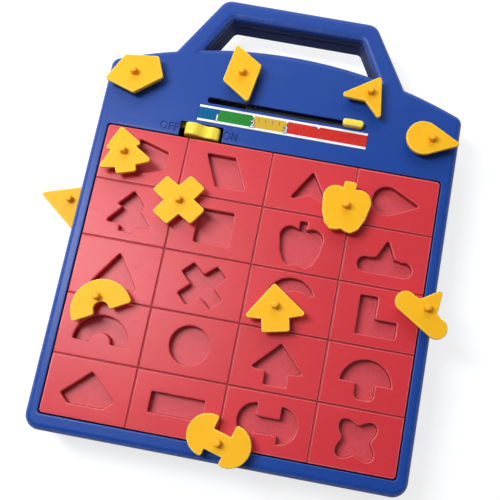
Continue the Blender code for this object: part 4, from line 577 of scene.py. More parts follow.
class Nodes:
    """A node tree in which one call makes a node."""

    def __init__(self, tree):
        self.tree = tree

    def node(self, kind, values=None, settings=None):
        """A node with its settings made first, then its sockets given values or links."""
        made = self.tree.nodes.new(kind)
        for setting, value in (settings or {}).items():
            setattr(made, setting, value)
        for key, value in (values or {}).items():
            for source in value if isinstance(value, list) else [value]:
                self.feed(made.inputs[key], source)
        return made

    def out(self, kind, values=None, settings=None, output=0):
        """One output of a new node, by its place or its name."""
        return self.node(kind, values, settings).outputs[output]

    def feed(self, socket, value):
        source = value.socket if isinstance(value, Value) else value
        if isinstance(source, bpy.types.NodeSocket):
            self.tree.links.new(source, socket)
        else:
            socket.default_value = source

    def between(self, value, low, high):
        """0 at low and 1 at high, smooth and clamped."""
        settings = {"interpolation_type": "SMOOTHSTEP"}
        return Value(self, self.out("ShaderNodeMapRange", {0: value, 1: low, 2: high}, settings))

    def background_seen(self):
        """1 for the rays that show the background: the camera's, and those of metal and clear plastic."""
        path = self.node("ShaderNodeLightPath").outputs
        both = Value(self, path["Is Camera Ray"]) + path["Is Glossy Ray"]
        settings = {"operation": "ADD", "use_clamp": True}
        return self.out("ShaderNodeMath", {0: both, 1: path["Is Transmission Ray"]}, settings)


class Paint(Nodes):
    """One procedural finish, built round its Principled shader."""

    def __init__(self, name, metallic=0.0, specular=0.5):
        self.material = bpy.data.materials.new(name)
        self.material.use_nodes = True
        super().__init__(self.material.node_tree)
        self.shader = self.tree.nodes["Principled BSDF"]
        self.shader.inputs["Metallic"].default_value = metallic
        self.shader.inputs["Specular IOR Level"].default_value = specular
        self.place = self.out("ShaderNodeTexCoord", output="Object")
        split = self.node("ShaderNodeSeparateXYZ", {0: self.place})
        self.x, self.y, self.z = (Value(self, output) for output in split.outputs)

    def attribute(self, name):
        return Value(self, self.out("ShaderNodeAttribute", settings={"attribute_name": name}, output="Fac"))

    def distance(self, name):
        """The length of a vector that is stored on the points."""
        stored = self.out("ShaderNodeAttribute", settings={"attribute_name": name}, output="Vector")
        return Value(self, self.out("ShaderNodeVectorMath", {0: stored}, {"operation": "LENGTH"}, "Value"))

    def noise(self, scale, detail, stretch=None):
        """A noise between 0 and 1, with its scale in cells per metre."""
        place = self.place
        if stretch:
            place = self.out("ShaderNodeMapping", {0: place, 3: stretch})
        return Value(self, self.out("ShaderNodeTexNoise", {"Vector": place, "Scale": scale, "Detail": detail}))

    def mix(self, factor, first, second):
        return self.out("ShaderNodeMix", {0: factor, 6: first, 7: second}, {"data_type": "RGBA"}, 2)

    def bump(self, height, depth):
        normal = self.out("ShaderNodeBump", {"Strength": 1.0, "Distance": depth, "Height": height})
        self.feed(self.shader.inputs["Normal"], normal)

    def finished(self, colour, roughness):
        self.feed(self.shader.inputs["Base Color"], colour)
        self.feed(self.shader.inputs["Roughness"], roughness)
        return self.material


def shade(colour, amount):
    """A colour made darker or lighter by a share, with its alpha."""
    if amount < 0:
        return (*[channel * (1 + amount) for channel in colour], 1)
    return (*[channel + (1 - channel) * amount for channel in colour], 1)


def moulded_plastic(name, colour, roughness, finish, grain, grain_depth, edge_light, specular=0.36):
    """Injection-moulded plastic: soft clouds, fine grain, faint rubs, paler edges that are partly rubbed and partly a
    painted highlight, and darker corners that are dirt plus painted shade.
    """
    paint = Paint(name, specular=specular)
    clouds = paint.noise(24, 3)
    speckle = paint.noise(520, 4)
    fine = paint.noise(grain, 2)
    rubs = paint.between(paint.noise(60, 6, (1.0, 5.0, 1.0)), 0.60, 0.78)
    # Paler edges from the point marks: rubbing plus a painted highlight.
    wear = paint.between(paint.attribute("wear") * (speckle + 0.45), 0.28, 0.85) * finish.edge_wear_and_highlight
    body = paint.mix(clouds, shade(colour, -0.12), shade(colour, 0.008))
    body = paint.mix(paint.between(speckle, 0.55, 0.8) * 0.06, body, shade(colour, 0.06))
    body = paint.mix(rubs * 0.08, body, shade(colour, 0.08))
    body = paint.mix(wear, body, shade(colour, edge_light))
    # Darker creases from the negative point marks: dirt plus painted shade.
    dirt_and_shade = paint.between(paint.attribute("wear") * (-0.7 - 0.6 * speckle), 0.1, 0.8)
    body = paint.mix(dirt_and_shade * finish.dirt_and_shade, body, shade(colour, -0.72))
    paint.bump(fine * 0.7 + speckle * 0.3, grain_depth * finish.grain)
    return paint, body, (roughness - 0.05) + 0.10 * speckle + 0.08 * rubs


@cache
def plain_plastic(name, colour, roughness, finish, *looks):
    """A moulded plastic with nothing of its own."""
    paint, body, rough = moulded_plastic(name, colour, roughness, finish, *looks)
    return paint.finished(body, rough)


def blue_plastics(finish):
    """The case's blue, and a copy inside the handle and under it painted darker as shade, with hardly any sheen."""
    grain = (2600.0, 0.012 * MM)
    return [
        plain_plastic("blue_moulded_plastic", tuple(finish.blue), 0.35, finish, *grain, 0.10, 0.26),
        # A darker copy of the blue: painted shade for the walls inside the handle and under it.
        plain_plastic(
            "sheltered_blue_plastic", tuple(0.5 * part for part in finish.blue), 0.5, finish, *grain, 0.08, 0.05
        ),
    ]


@cache
def red_plastic(finish):
    """The tray's red, duller and mottled on the recess floors."""
    paint, body, rough = moulded_plastic("red_moulded_plastic", finish.red, 0.37, finish, 1900.0, 0.022 * MM, 0.14)
    floor = paint.between(paint.z, RECESS_FLOOR + 0.9 * MM, RECESS_FLOOR + 0.2 * MM)
    mottle = paint.noise(420, 5)
    dull = paint.mix(mottle, shade(finish.recess, -0.10), shade(finish.recess, 0.05))
    body = paint.mix(floor * 0.8, body, dull)
    return paint.finished(body, rough + 0.04 * floor)


@cache
def amber_plastic(finish):
    """The shapes' slightly clear amber, lighter on its thin edges with a painted highlight, and darker round the knob
    with painted shade.
    """
    paint, body, rough = moulded_plastic(
        "amber_moulded_plastic", finish.amber, 0.46, finish, 2200.0, 0.008 * MM, 0.10, 0.14
    )
    # Paler amber on the marked edges: a painted highlight.
    thin = paint.between(paint.attribute("wear"), 0.1, 0.9)
    body = paint.mix(thin * 0.55, body, (*finish.amber_edge_highlight, 1))
    # Darker amber round the knob's foot: painted shade.
    knob_shade = paint.between(paint.distance("from_knob"), 4.6 * MM, 1.6 * MM)
    return paint.finished(paint.mix(knob_shade * 0.5, body, (*finish.amber_knob_shade, 1)), rough)


def lemon_plastic(finish):
    return plain_plastic("lemon_moulded_plastic", tuple(finish.lemon), 0.30, finish, 2200.0, 0.008 * MM, 0.25)


def dark_acetal(finish):
    """Self-lubricating black plastic of the rack, tinted navy-black as painted shade seen through the slot."""
    return plain_plastic("dark_acetal", (0.006, 0.008, 0.016), 0.6, finish, 1800.0, 0.01 * MM, 0.06)


def nylon(finish):
    return plain_plastic("milky_nylon", (0.76, 0.75, 0.68), 0.42, finish, 1800.0, 0.01 * MM, 0.3)


@cache
def metal(name, colour, roughness, stretch):
    """Rolled or turned metal: fine drawn lines, stains and brighter rubbed spots."""
    paint = Paint(name, metallic=1.0)
    lines = paint.noise(900, 3, stretch)
    stains = paint.noise(70, 4)
    rubbed = paint.between(paint.noise(260, 4), 0.55, 0.75)
    body = paint.mix(stains, shade(colour, -0.22), shade(colour, 0.06))
    body = paint.mix(rubbed * 0.35, body, shade(colour, 0.22))
    paint.bump(lines, 0.006 * MM)
    return paint.finished(body, roughness - 0.06 + 0.16 * lines + 0.10 * stains)


def steel():
    return metal("bright_steel", (0.52, 0.53, 0.55), 0.30, (1.0, 9.0, 1.0))


def spring_steel():
    return metal("spring_steel_wire", (0.42, 0.43, 0.46), 0.24, (1.0, 1.0, 6.0))


def brass():
    return metal("rolled_brass", (0.74, 0.50, 0.19), 0.28, (7.0, 1.0, 1.0))


def printed_scale(finish):
    """The scale's zones, printed between two white margins."""
    paint = Paint("printed_scale_card", specular=0.06)
    ragged = (paint.noise(3000, 2) - 0.5) * (0.10 * MM)
    ink = paint.noise(900, 4)
    x = paint.x + ragged
    body = (*finish.zone_1, 1)
    for place, colour in zip(ZONE_EDGES, (finish.zone_2, finish.zone_3, finish.zone_4)):
        body = paint.mix(x > place, body, (*colour, 1))
    body = paint.mix(paint.between(ink, 0.45, 0.8) * 0.05, body, (0.8, 0.8, 0.78, 1))
    middle = (SCALE_LOW.y + SCALE_HIGH.y) / 2
    margin = abs(paint.y + ragged - middle) > (SCALE_HIGH.y - SCALE_LOW.y) / 2 - 1.6 * MM
    below = paint.z < SCALE_HIGH.z - 0.3 * MM
    card = paint.mix(ink, (0.80, 0.80, 0.79, 1), (0.90, 0.90, 0.89, 1))
    body = paint.mix(below, paint.mix(margin, body, card), card)
    worn_and_lit = paint.between(paint.attribute("wear") * (ink + 0.4), 0.45, 0.9) * finish.edge_wear_and_highlight
    body = paint.mix(worn_and_lit * 0.5, body, (0.78, 0.77, 0.74, 1))
    paint.bump(ink, 0.006 * MM)
    return paint.finished(body, 0.34 + 0.12 * ink)


def print_ink(name, colour):
    """Screen-printed ink with an uneven coat."""
    paint = Paint(name, specular=0.36)
    grains = paint.noise(2600, 3)
    body = paint.mix(grains, shade(colour, -0.12), shade(colour, 0.08))
    paint.bump(grains, 0.004 * MM)
    return paint.finished(body, 0.3 + 0.16 * grains)


# Sizes and colours that a user would change

def colour_property(name, description, default):
    return FloatVectorProperty(name=name, description=description, default=default, subtype="COLOR", min=0, max=1)


def length_property(name, description, default, low, high):
    return FloatProperty(
        name=name, description=description, default=default * MM, min=low * MM, max=high * MM, unit="LENGTH",
        precision=5,
    )


class ShapeGameFinish(PropertyGroup):
    """Colours and surface of the plastics and the print."""

    blue: colour_property("Case blue", "Blue plastic of the case and its handle", (0.004, 0.052, 0.315))
    red: colour_property("Tray red", "Red plastic of the pop-up tray", (0.66, 0.026, 0.038))
    recess: colour_property("Recess floor", "Duller red at the bottom of the recesses", (0.64, 0.046, 0.064))
    amber: colour_property("Shape amber", "Plastic of the loose shapes", (0.98, 0.49, 0.008))
    # The next two colours are a painted highlight on the shapes' edges and painted shade round their knobs.
    amber_edge_highlight: colour_property("Amber edge", "The shapes' plastic where it is thin", (1.0, 0.70, 0.05))
    amber_knob_shade: colour_property("Amber depth", "The shapes' plastic round the knob", (0.95, 0.34, 0.006))
    lemon: colour_property("Lemon", "Plastic of the pointer and the switch", (0.94, 0.74, 0.05))
    zone_1: colour_property("First zone", "Print of the scale's first zone", (0.001, 0.105, 0.255))
    zone_2: colour_property("Second zone", "Print of the scale's second zone", (0.018, 0.225, 0.03))
    zone_3: colour_property("Third zone", "Print of the scale's third zone", (0.63, 0.39, 0.032))
    zone_4: colour_property("Fourth zone", "Print of the scale's last zone", (0.58, 0.026, 0.018))
    # Scales the paler edges: rubbing plus a painted highlight.
    edge_wear_and_highlight: FloatProperty(
        name="Edge wear", description="How far worn edges turn paler", default=0.75, min=0, max=1, subtype="FACTOR",
    )
    # Scales the darker grooves, marks and wall feet: dirt plus painted shade.
    dirt_and_shade: FloatProperty(
        name="Grime", description="How dark the grooves and the feet of the recess walls are", default=0.8,
        min=0, max=1, subtype="FACTOR",
    )
    grain: FloatProperty(
        name="Grain", description="Depth of the moulded grain, as a multiple", default=1.0, min=0, max=5,
    )


class ShapeGameSizes(PropertyGroup):
    """Roundings and small sizes of the finished pieces, given here in millimetres."""

    rim: length_property("Case rim", "Rounding of the case's upper edge", 4, 0.5, 5)
    foot: length_property("Case foot", "Rounding of the case's lower edge", 1.5, 0.2, 3)
    rim_steps: IntProperty(name="Rim steps", description="Faces across a large rounding", default=8, min=2)
    recess_rim: length_property("Recess rim", "Rounding of the recesses' upper edge", 0.8, 0.1, 1.2)
    groove_width: length_property("Groove width", "Width of the grooves between the tray's tiles", 1.5, 0.4, 2)
    groove_depth: length_property("Groove depth", "Depth of the grooves between the tray's tiles", 1, 0.2, 1.5)
    shape_rim: length_property("Shape rim", "Rounding of a loose shape's upper edge", 0.7, 0.1, 1.2)
    knob_radius: length_property("Knob radius", "Radius of a loose shape's knob", 2.25, 1, 2.4)
    numeral_height: length_property("Numeral height", "Height of the numbers on the scale", 4.6, 2, 7)
    letter_height: length_property("Letter height", "Height of the engraved switch marks", 5.2, 3, 6)
    coil_turns: IntProperty(name="Coil turns", description="Turns of each tray spring", default=6, min=2, max=12)


class ShapeGameStage(PropertyGroup):
    """Light, floor and view of the studio."""

    focal_length: FloatProperty(
        name="Focal length", description="Lens for a 36 mm wide sensor", default=54.72, unit="CAMERA",
    )
    camera_place: FloatVectorProperty(
        name="Camera place", description="Where the camera stands", default=(0.0376, -0.0686, 0.5017),
        subtype="TRANSLATION", unit="LENGTH",
    )
    camera_aim: FloatVectorProperty(
        name="Camera aim", description="The direction the camera looks in", default=(-0.0333, 0.195, -0.9802),
        subtype="DIRECTION",
    )
    camera_up: FloatVectorProperty(
        name="Camera up", description="The direction of the picture's upper edge",
        default=(-0.1793, 0.9637, 0.1978), subtype="DIRECTION",
    )
    camera_shift: FloatVectorProperty(
        name="Camera shift", description="How far the picture is moved on the sensor", default=(-0.0748, 0.027),
        size=2,
    )
    key_watts: FloatProperty(name="Key light", description="Power of the large light", default=6.6, min=0)
    rim_watts: FloatProperty(name="Rear light", description="Power of the light from behind", default=10.5, min=0)
    sky: FloatProperty(name="Sky", description="Strength of the even light", default=0.22, min=0)


# The case

BOSS, BORE = 3.9, 1.6  # radii of the screw bosses and of their bores, in millimetres


def handle_horseshoe():
    """The handle's two legs and its bar, with the legs' roots inside the case's wall."""
    root = 4.6 * MM
    outer_y, inner_y = crest_y(HANDLE_BASE_HALF), crest_y(GRIP_BASE_HALF)
    outer_lean = (HANDLE_BASE_HALF - HANDLE_TOP_HALF) / (HANDLE_END - outer_y)
    inner_lean = (GRIP_BASE_HALF - GRIP_TOP_HALF) / (GRIP_END - inner_y)
    outer = (HANDLE_BASE_HALF + outer_lean * root, outer_y - root)
    inner = (GRIP_BASE_HALF + inner_lean * root, inner_y - root)
    return rounded_outline([
        (*inner, 0), (*outer, 0), *HANDLE_CORNERS, (-outer[0], outer[1], 0), (-inner[0], inner[1], 0),
        (-GRIP_TOP_HALF, GRIP_END, GRIP_CORNER), (GRIP_TOP_HALF, GRIP_END, GRIP_CORNER),
    ])


def window_outline():
    """The tray's window with the switch's notch in its rear edge."""
    width, depth = TRAY_HALF_WIDTH + 0.8 * MM, TRAY_HALF_DEPTH + 0.8 * MM
    return rounded_outline([
        (-width, -depth, TRAY_CORNER), (width, -depth, TRAY_CORNER), (width, depth, TRAY_CORNER),
        (SWITCH_RIGHT, depth, 0), (SWITCH_RIGHT, SWITCH_REAR, 0.8 * MM), (SWITCH_LEFT, SWITCH_REAR, 0.8 * MM),
        (SWITCH_LEFT, depth, 0), (-width, depth, TRAY_CORNER),
    ], 10)


def softened_mouth(outline, depth, soft):
    """Levels down through a hole in the top face, with its edge softened."""
    # The middle of the softened edge is marked paler: a painted highlight along the mouth.
    return [
        (offset(outline, soft), CASE_TOP, 0.1), (offset(outline, 0.3 * soft), CASE_TOP - 0.3 * soft, 0.8),
        (outline, CASE_TOP - soft, 0.3), (outline, depth, 0.0),
    ]


def engraved_mark(shell, outline, island=None):
    """A letter cut into the top face. Returns the ring of its mouth."""
    low = CASE_TOP - 0.4 * MM
    # The letter's walls are marked darker towards its floor: dirt plus painted shade.
    mouth, floor = shell.stack([
        (offset(outline, 0.05 * MM), CASE_TOP, 0.2), (outline, CASE_TOP - 0.08 * MM, -0.4), (outline, low, -0.9),
    ])
    inner = []
    if island:
        island_low, island_top = shell.stack([(island, low, 0.0), (island, CASE_TOP, 0.5)])
        shell.cap(island_top)
        inner = [island_low]
    shell.cap(floor, inner)
    return mouth


def switch_marks(shell, height):
    """OFF to the left of the switch and ON to its right."""
    mouths = []
    stroke = 0.14 * height
    for x in (-72.9 * MM, -31.6 * MM):
        ring = circle(x, SWITCH_MARKS_Y, 0.42 * height, 32, height / 2)
        mouths.append(engraved_mark(shell, ring, offset(ring, -stroke)))
    for letter, x in ((LETTER_F, -69.4 * MM), (LETTER_F, -65.9 * MM), (LETTER_N, -28.4 * MM)):
        outline = [(x + share_x * height, SWITCH_MARKS_Y + (share_y - 0.5) * height) for share_x, share_y in letter]
        mouths.append(engraved_mark(shell, counterclockwise(outline)))
    return mouths


def window_ribs(shell):
    """The rib that hangs round the window and stops the tray's tabs."""
    inner_x, inner_y = TRAY_HALF_WIDTH + 0.82 * MM, TRAY_HALF_DEPTH + 0.82 * MM
    outer_x, outer_y = WINDOW_HALF_WIDTH + 1.6 * MM, WINDOW_HALF_DEPTH + 1.6 * MM
    high = CEILING + 0.6 * MM
    notch = 7 * MM
    for left, right in (
        (-outer_x, SWITCH_LEFT), (SWITCH_RIGHT, WINDING_X - notch), (WINDING_X + notch, outer_x),
    ):
        shell.block((left, inner_y, RIB_LOW), (right, outer_y, high))
    shell.block((WINDING_X - notch, inner_y, CASE_TOP - 4.1 * MM), (WINDING_X + notch, outer_y, high))
    shell.block((-outer_x, -outer_y, RIB_LOW), (outer_x, -inner_y, high))
    for side in (-1, 1):
        left, right = sorted((side * inner_x, side * (outer_x + 0.2 * MM)))
        shell.block((left, -outer_y - 0.2 * MM, RIB_LOW), (right, outer_y + 0.2 * MM, high))


def make_case_top(finish, sizes):
    shell = Shell()
    outline = whole_outline()
    grip = grip_outline()
    step = 0.3 * MM
    line = PARTING + 4.6 * MM
    outer_bottom, outer_top = shell.stack([
        (offset(outline, -0.25 * MM), PARTING, 0.4), (outline, PARTING + step, 0.7),
        (outline, PARTING + 3 * step, 0.1),
        *rounding(outline, CASE_TOP, sizes.rim, sizes.rim_steps, 0.6),
    ])
    grip_rounding = [
        (offset(grip, sizes.rim * inward), CASE_TOP - sizes.rim * down, 0.6 * sin(2 * angle))
        for inward, down, angle in reversed(quarter_round(sizes.rim_steps))
    ]
    grip_top, _ = shell.stack(grip_rounding)
    # The grip's walls below its rounding take the darker blue, which is painted shade.
    _, grip_bottom = shell.stack([
        grip_rounding[-1], (grip, line + 0.25 * MM, 0.1), (offset(grip, 0.3 * MM), line, 0.0),
        (grip, line - 0.25 * MM, 0.5), (grip, PARTING + step, 0.7), (offset(grip, 0.25 * MM), PARTING, 0.4),
    ], paint=1)
    room = offset(outline, -WALL)
    grip_room = offset(grip, WALL)
    room_high, room_low = shell.stack([(room, CEILING, 0.0), (room, PARTING, 0.2)])
    grip_low, grip_high = shell.stack([(grip_room, PARTING, 0.2), (grip_room, CEILING, 0.0)])
    window_mouth, window_low = shell.stack(softened_mouth(window_outline(), CEILING, 0.55 * MM))
    slot = rectangle(
        SLOT_MIDDLE - SLOT_HALF, SLOT_PLACE - 2.1 * MM, SLOT_MIDDLE + SLOT_HALF, SLOT_PLACE + 2.1 * MM, 1.8 * MM
    )
    slot_mouth, slot_low = shell.stack(softened_mouth(slot, CEILING, 0.25 * MM))
    card = rectangle(
        SCALE_LOW.x - 0.3 * MM, SCALE_LOW.y - 0.3 * MM, SCALE_HIGH.x + 0.3 * MM, SCALE_HIGH.y + 0.3 * MM
    )
    card_mouth, card_floor = shell.stack(softened_mouth(card, CASE_TOP - 0.9 * MM, 0.15 * MM))
    shell.cap(card_floor)
    marks = switch_marks(shell, sizes.letter_height)
    shell.cap(outer_top, [grip_top, window_mouth, slot_mouth, card_mouth, *marks])
    shell.cap(outer_bottom, [room_low], up=False)
    shell.cap(grip_low, [grip_bottom], up=False)
    shell.cap(room_high, [grip_high, window_low, slot_low], up=False)
    window_ribs(shell)
    for x, y in screw_places(False) + screw_places(True):
        shell.solid(rounds(x, y, (3.2, PARTING, 0.2), (3.2, CEILING + 0.6 * MM, 0)))
    latch_stop, guide_rear = TRAY_HALF_DEPTH + 6.15 * MM, SLOT_PLACE - 10.2 * MM
    for middle, half, front, rear, down in (
        (WINDING_X, 3, latch_stop, latch_stop + 6 * MM, 10), (31 * MM, 17, guide_rear - 1.6 * MM, guide_rear, 9),
        (-79.7 * MM, 17, guide_rear - 1.6 * MM, guide_rear, 9),
        (ROCKER_X, 3, SWITCH_REAR + 0.3 * MM, SWITCH_REAR + 4.3 * MM, 9),
    ):
        shell.block(
            (middle - half * MM, front, CASE_TOP - down * MM), (middle + half * MM, rear, CEILING + MM / 2)
        )
    shell.piece("upper_case_shell", blue_plastics(finish), "case", "blue_case", "case_top")


def boss(shell, x, y, low, seat, high):
    """A screw boss: a closed tube with its well below the seat and its bore above."""
    foot, top = shell.stack(rounds(x, y, (BOSS, low, 0), (BOSS, high, 0.2)))
    bore_top, bore_low = shell.stack(rounds(x, y, (BORE, high, 0), (BORE, seat, 0)))
    well_top, well_low = shell.stack(rounds(x, y, (2.88, seat, 0), (2.88, low, 0)))
    shell.cap(top, [bore_top])
    shell.cap(well_top, [bore_low], up=False)
    shell.cap(foot, [well_low], up=False)


def tub(shell, outline, low, foot, places, seat, paint=0):
    """A lower shell, open at the top. Its screw bosses stand on the floor or are part of the wall."""
    high, floor = LOWER_TOP, low + WALL
    bottom, rim = shell.stack([
        *rounding(outline, low, foot, 5, 0.7, upwards=False),
        (outline, high - 0.9 * MM, 0.1), (outline, high - 0.3 * MM, 0.7), (offset(outline, -0.25 * MM), high, 0.4),
    ], paint)
    room = offset(outline, -WALL)
    holes, bores, mouths = [], [], []
    for x, y in places:
        led = led_round(room, x, y, BOSS * MM)
        in_wall = led != room
        room = led
        well, mouth = shell.stack(rounds(
            x, y, (2.9, seat if in_wall else floor, 0), (2.9, low + 0.3 * MM, 0.1), (2.96, low + 0.1 * MM, 0.8),
            (3.15, low, 0.3),
        ))
        mouths.append(mouth)
        if in_wall:
            bore, bore_low = shell.stack(rounds(x, y, (BORE, high, 0), (BORE, seat, 0)))
            shell.cap(well, [bore_low], up=False)
            bores.append(bore)
        else:
            boss(shell, x, y, floor - 1.2 * MM, seat, high)
            holes.append(well)
    room_top, room_floor = shell.stack([(room, high, 0.2), (room, floor, 0.0)])
    shell.cap(bottom, mouths, up=False)
    shell.cap(rim, [room_top, *bores])
    shell.cap(room_floor, holes)


def make_case_bottom(finish, sizes):
    shell = Shell()
    tub(shell, case_outline(), 0, sizes.foot, screw_places(False), SCREW_SEAT)
    # The handle's lower half takes the darker blue, which is painted shade.
    tub(shell, handle_horseshoe(), HANDLE_LOW, 1.8 * MM, screw_places(True), HANDLE_SCREW_SEAT, paint=1)
    root = WALL - 1 * MM
    for x, y in corner_tiles():
        shell.solid(rounds(x, y, (4, root, 0), (4, WALL + 4.6 * MM, 0.3), (3.6, WALL + 5 * MM, 0.6)))
    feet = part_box("movement_base")
    for x in (feet[0].x + 4.5 * MM, feet[1].x - 4.5 * MM):
        for y in (feet[0].y + 4.5 * MM, SLOT_PLACE + 3.7 * MM, feet[1].y - 4.5 * MM):
            shell.solid(rounds(x, y, (4, root, 0), (4, 3.7 * MM, 0.3)))
    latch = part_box("latch_plate")
    rib = TRAY_HALF_DEPTH + 6.65 * MM
    shell.block((latch[0].x, rib, root), (latch[1].x, rib + 2 * MM, latch[0].z - 0.3 * MM))
    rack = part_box("timer_rack")
    for x in (-97 * MM, 62 * MM):
        middle = SLOT_PLACE - 3.65 * MM
        shell.block((x, middle - 3 * MM, root), (x + 2 * MM, middle + 3 * MM, rack[0].z - 0.3 * MM))
    shell.piece("lower_case_shell", blue_plastics(finish), "case", "blue_case", "case_bottom")


# The tray

def tile_levels(column, row, sizes):
    """A tile's border from the bottom of its grooves up to its face.

    On the tray's own edges the groove gives way to a rounded edge of the same depth.
    """
    half, depth = sizes.groove_width / 2, sizes.groove_depth
    # The last number of each step marks the groove's bottom darker, for dirt and painted shade, and its shoulders
    # paler, for a painted highlight.
    steps = (
        (0.0, 0.0, depth, -1.0), (0.80 * half, 0.06 * depth, 0.24 * depth + 0.1 * MM, -0.3),
        (half, 0.28 * depth, 0.07 * MM + 0.1 * depth, 0.9), (1.25 * half, 0.6 * depth, 0.02 * MM, 0.8),
        (1.6 * half, 1.1 * depth, 0.0, 0.0),
    )
    left, right = COLUMN_EDGES[column], COLUMN_EDGES[column + 1]
    rear, front = ROW_EDGES[row], ROW_EDGES[row + 1]
    levels = []
    ends = (column == 0, column == 3, row == 4, row == 0)
    for groove_inset, edge_inset, down, wear in steps:
        insets = [edge_inset if end else groove_inset for end in ends]
        xs, ys = (left + insets[0], right - insets[1]), (front + insets[2], rear - insets[3])
        corners = [
            (xs[i], ys[j], TRAY_CORNER - edge_inset if ends[i] and ends[2 + j] else 0)
            for i, j in ((0, 0), (1, 0), (1, 1), (0, 1))
        ]
        levels.append((rounded_outline(corners, 10), CASE_TOP - down, wear))
    return levels


def recess_levels(outline, sizes):
    """A recess from its rounded rim down its slightly tapering wall to its floor."""
    rim = sizes.recess_rim
    # The rounded rim is marked paler, a painted highlight, and the wall darker towards its foot, for dirt and painted
    # shade.
    return [
        (offset(outline, rim * inward), CASE_TOP - rim * down, sin(2 * angle) ** 2)
        for inward, down, angle in reversed(quarter_round(4))
    ] + [
        (offset(outline, inset * MM), height, wear) for inset, height, wear in (
            (-0.04, CASE_TOP - 1.6 * MM, -0.3), (-0.12, RECESS_FLOOR + 0.4 * MM, -0.9),
            (-0.20, RECESS_FLOOR + 0.12 * MM, -1.0), (-0.40, RECESS_FLOOR, -0.8), (-0.75, RECESS_FLOOR, 0.0),
        )
    ]


def tray_edge():
    """The tray's own border, with a point wherever a groove runs out."""
    width, depth = TRAY_HALF_WIDTH, TRAY_HALF_DEPTH
    columns, rows = COLUMN_EDGES[1:-1], ROW_EDGES[1:-1]
    return rounded_outline([
        (-width, -depth, TRAY_CORNER), *[(x, -depth, 0) for x in columns], (width, -depth, TRAY_CORNER),
        *[(width, y, 0) for y in reversed(rows)], (width, depth, TRAY_CORNER),
        *[(x, depth, 0) for x in reversed(columns)], (-width, depth, TRAY_CORNER),
        *[(-width, y, 0) for y in rows],
    ], 10)


def make_tray(finish, sizes):
    shell = Shell()
    under = CASE_TOP - 2.2 * MM
    cups = []
    for row, shapes in enumerate(TRAY_ROWS):
        for column, shape in enumerate(shapes):
            centre = tile_centre(column, row)
            outline = moved_outline(shape_outline(shape), *centre)
            _, face = shell.stack(tile_levels(column, row, sizes))
            mouth, floor = shell.stack(recess_levels(softened(outline, RECESS_CORNER), sizes))
            shell.cap(face, [mouth])
            shell.cap(floor)
            cup = offset(outline, 1.6 * MM, 3)
            cup_low, cup_high = shell.stack([
                (offset(outline, 1.1 * MM, 3), CUP_BOTTOM, 0.3), (cup, CUP_BOTTOM + 0.5 * MM, 0.3), (cup, under, 0.0),
            ])
            shell.cap(cup_low, up=False)
            cups.append(cup_high)
    border = tray_edge()
    skirt_low, _ = shell.stack([
        (offset(border, -0.3 * MM), SKIRT_BOTTOM, 0.4), (border, SKIRT_BOTTOM + 0.3 * MM, 0.7),
        (border, CASE_TOP - sizes.groove_depth, 0.0),
    ])
    inner = offset(border, -2 * MM)
    inner_high, inner_low = shell.stack([(inner, under, 0.0), (inner, SKIRT_BOTTOM, 0.3)])
    shell.cap(skirt_low, [inner_low], up=False)
    shell.cap(inner_high, cups, up=False)
    for x, y in corner_tiles():
        shell.solid(rounds(
            x, y, (3.6, CUP_BOTTOM - 5 * MM, 0.5), (4, CUP_BOTTOM - 4.6 * MM, 0.3), (4, CUP_BOTTOM + 0.8 * MM, 0)
        ))
    width, depth, reach = TRAY_HALF_WIDTH, TRAY_HALF_DEPTH, 4.8 * MM
    root, half, tab_low = 1 * MM, 10 * MM, TAB_TOP - 2 * MM
    for side in (-1, 1):
        left, right = sorted((side * (width - root), side * (width + reach)))
        for middle in (-0.541 * depth, 0.541 * depth):
            shell.block((left, middle - half, tab_low), (right, middle + half, TAB_TOP))
    for side, share in ((-1, -0.446), (-1, 0.446), (1, 0.19), (1, 0.789)):
        front, rear = sorted((side * (depth - root), side * (depth + reach)))
        shell.block((share * width - half, front, tab_low), (share * width + half, rear, TAB_TOP))
    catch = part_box("latch_plate")[0].z + 7.6 * MM
    shell.block(
        (WINDING_X - 5 * MM, depth - root, catch - 2 * MM), (WINDING_X + 5 * MM, depth + 4.15 * MM, catch)
    )
    shell.piece("pop_up_tray", [red_plastic(finish)], "tray", "red_tray", "shape_tray")


# The loose shapes

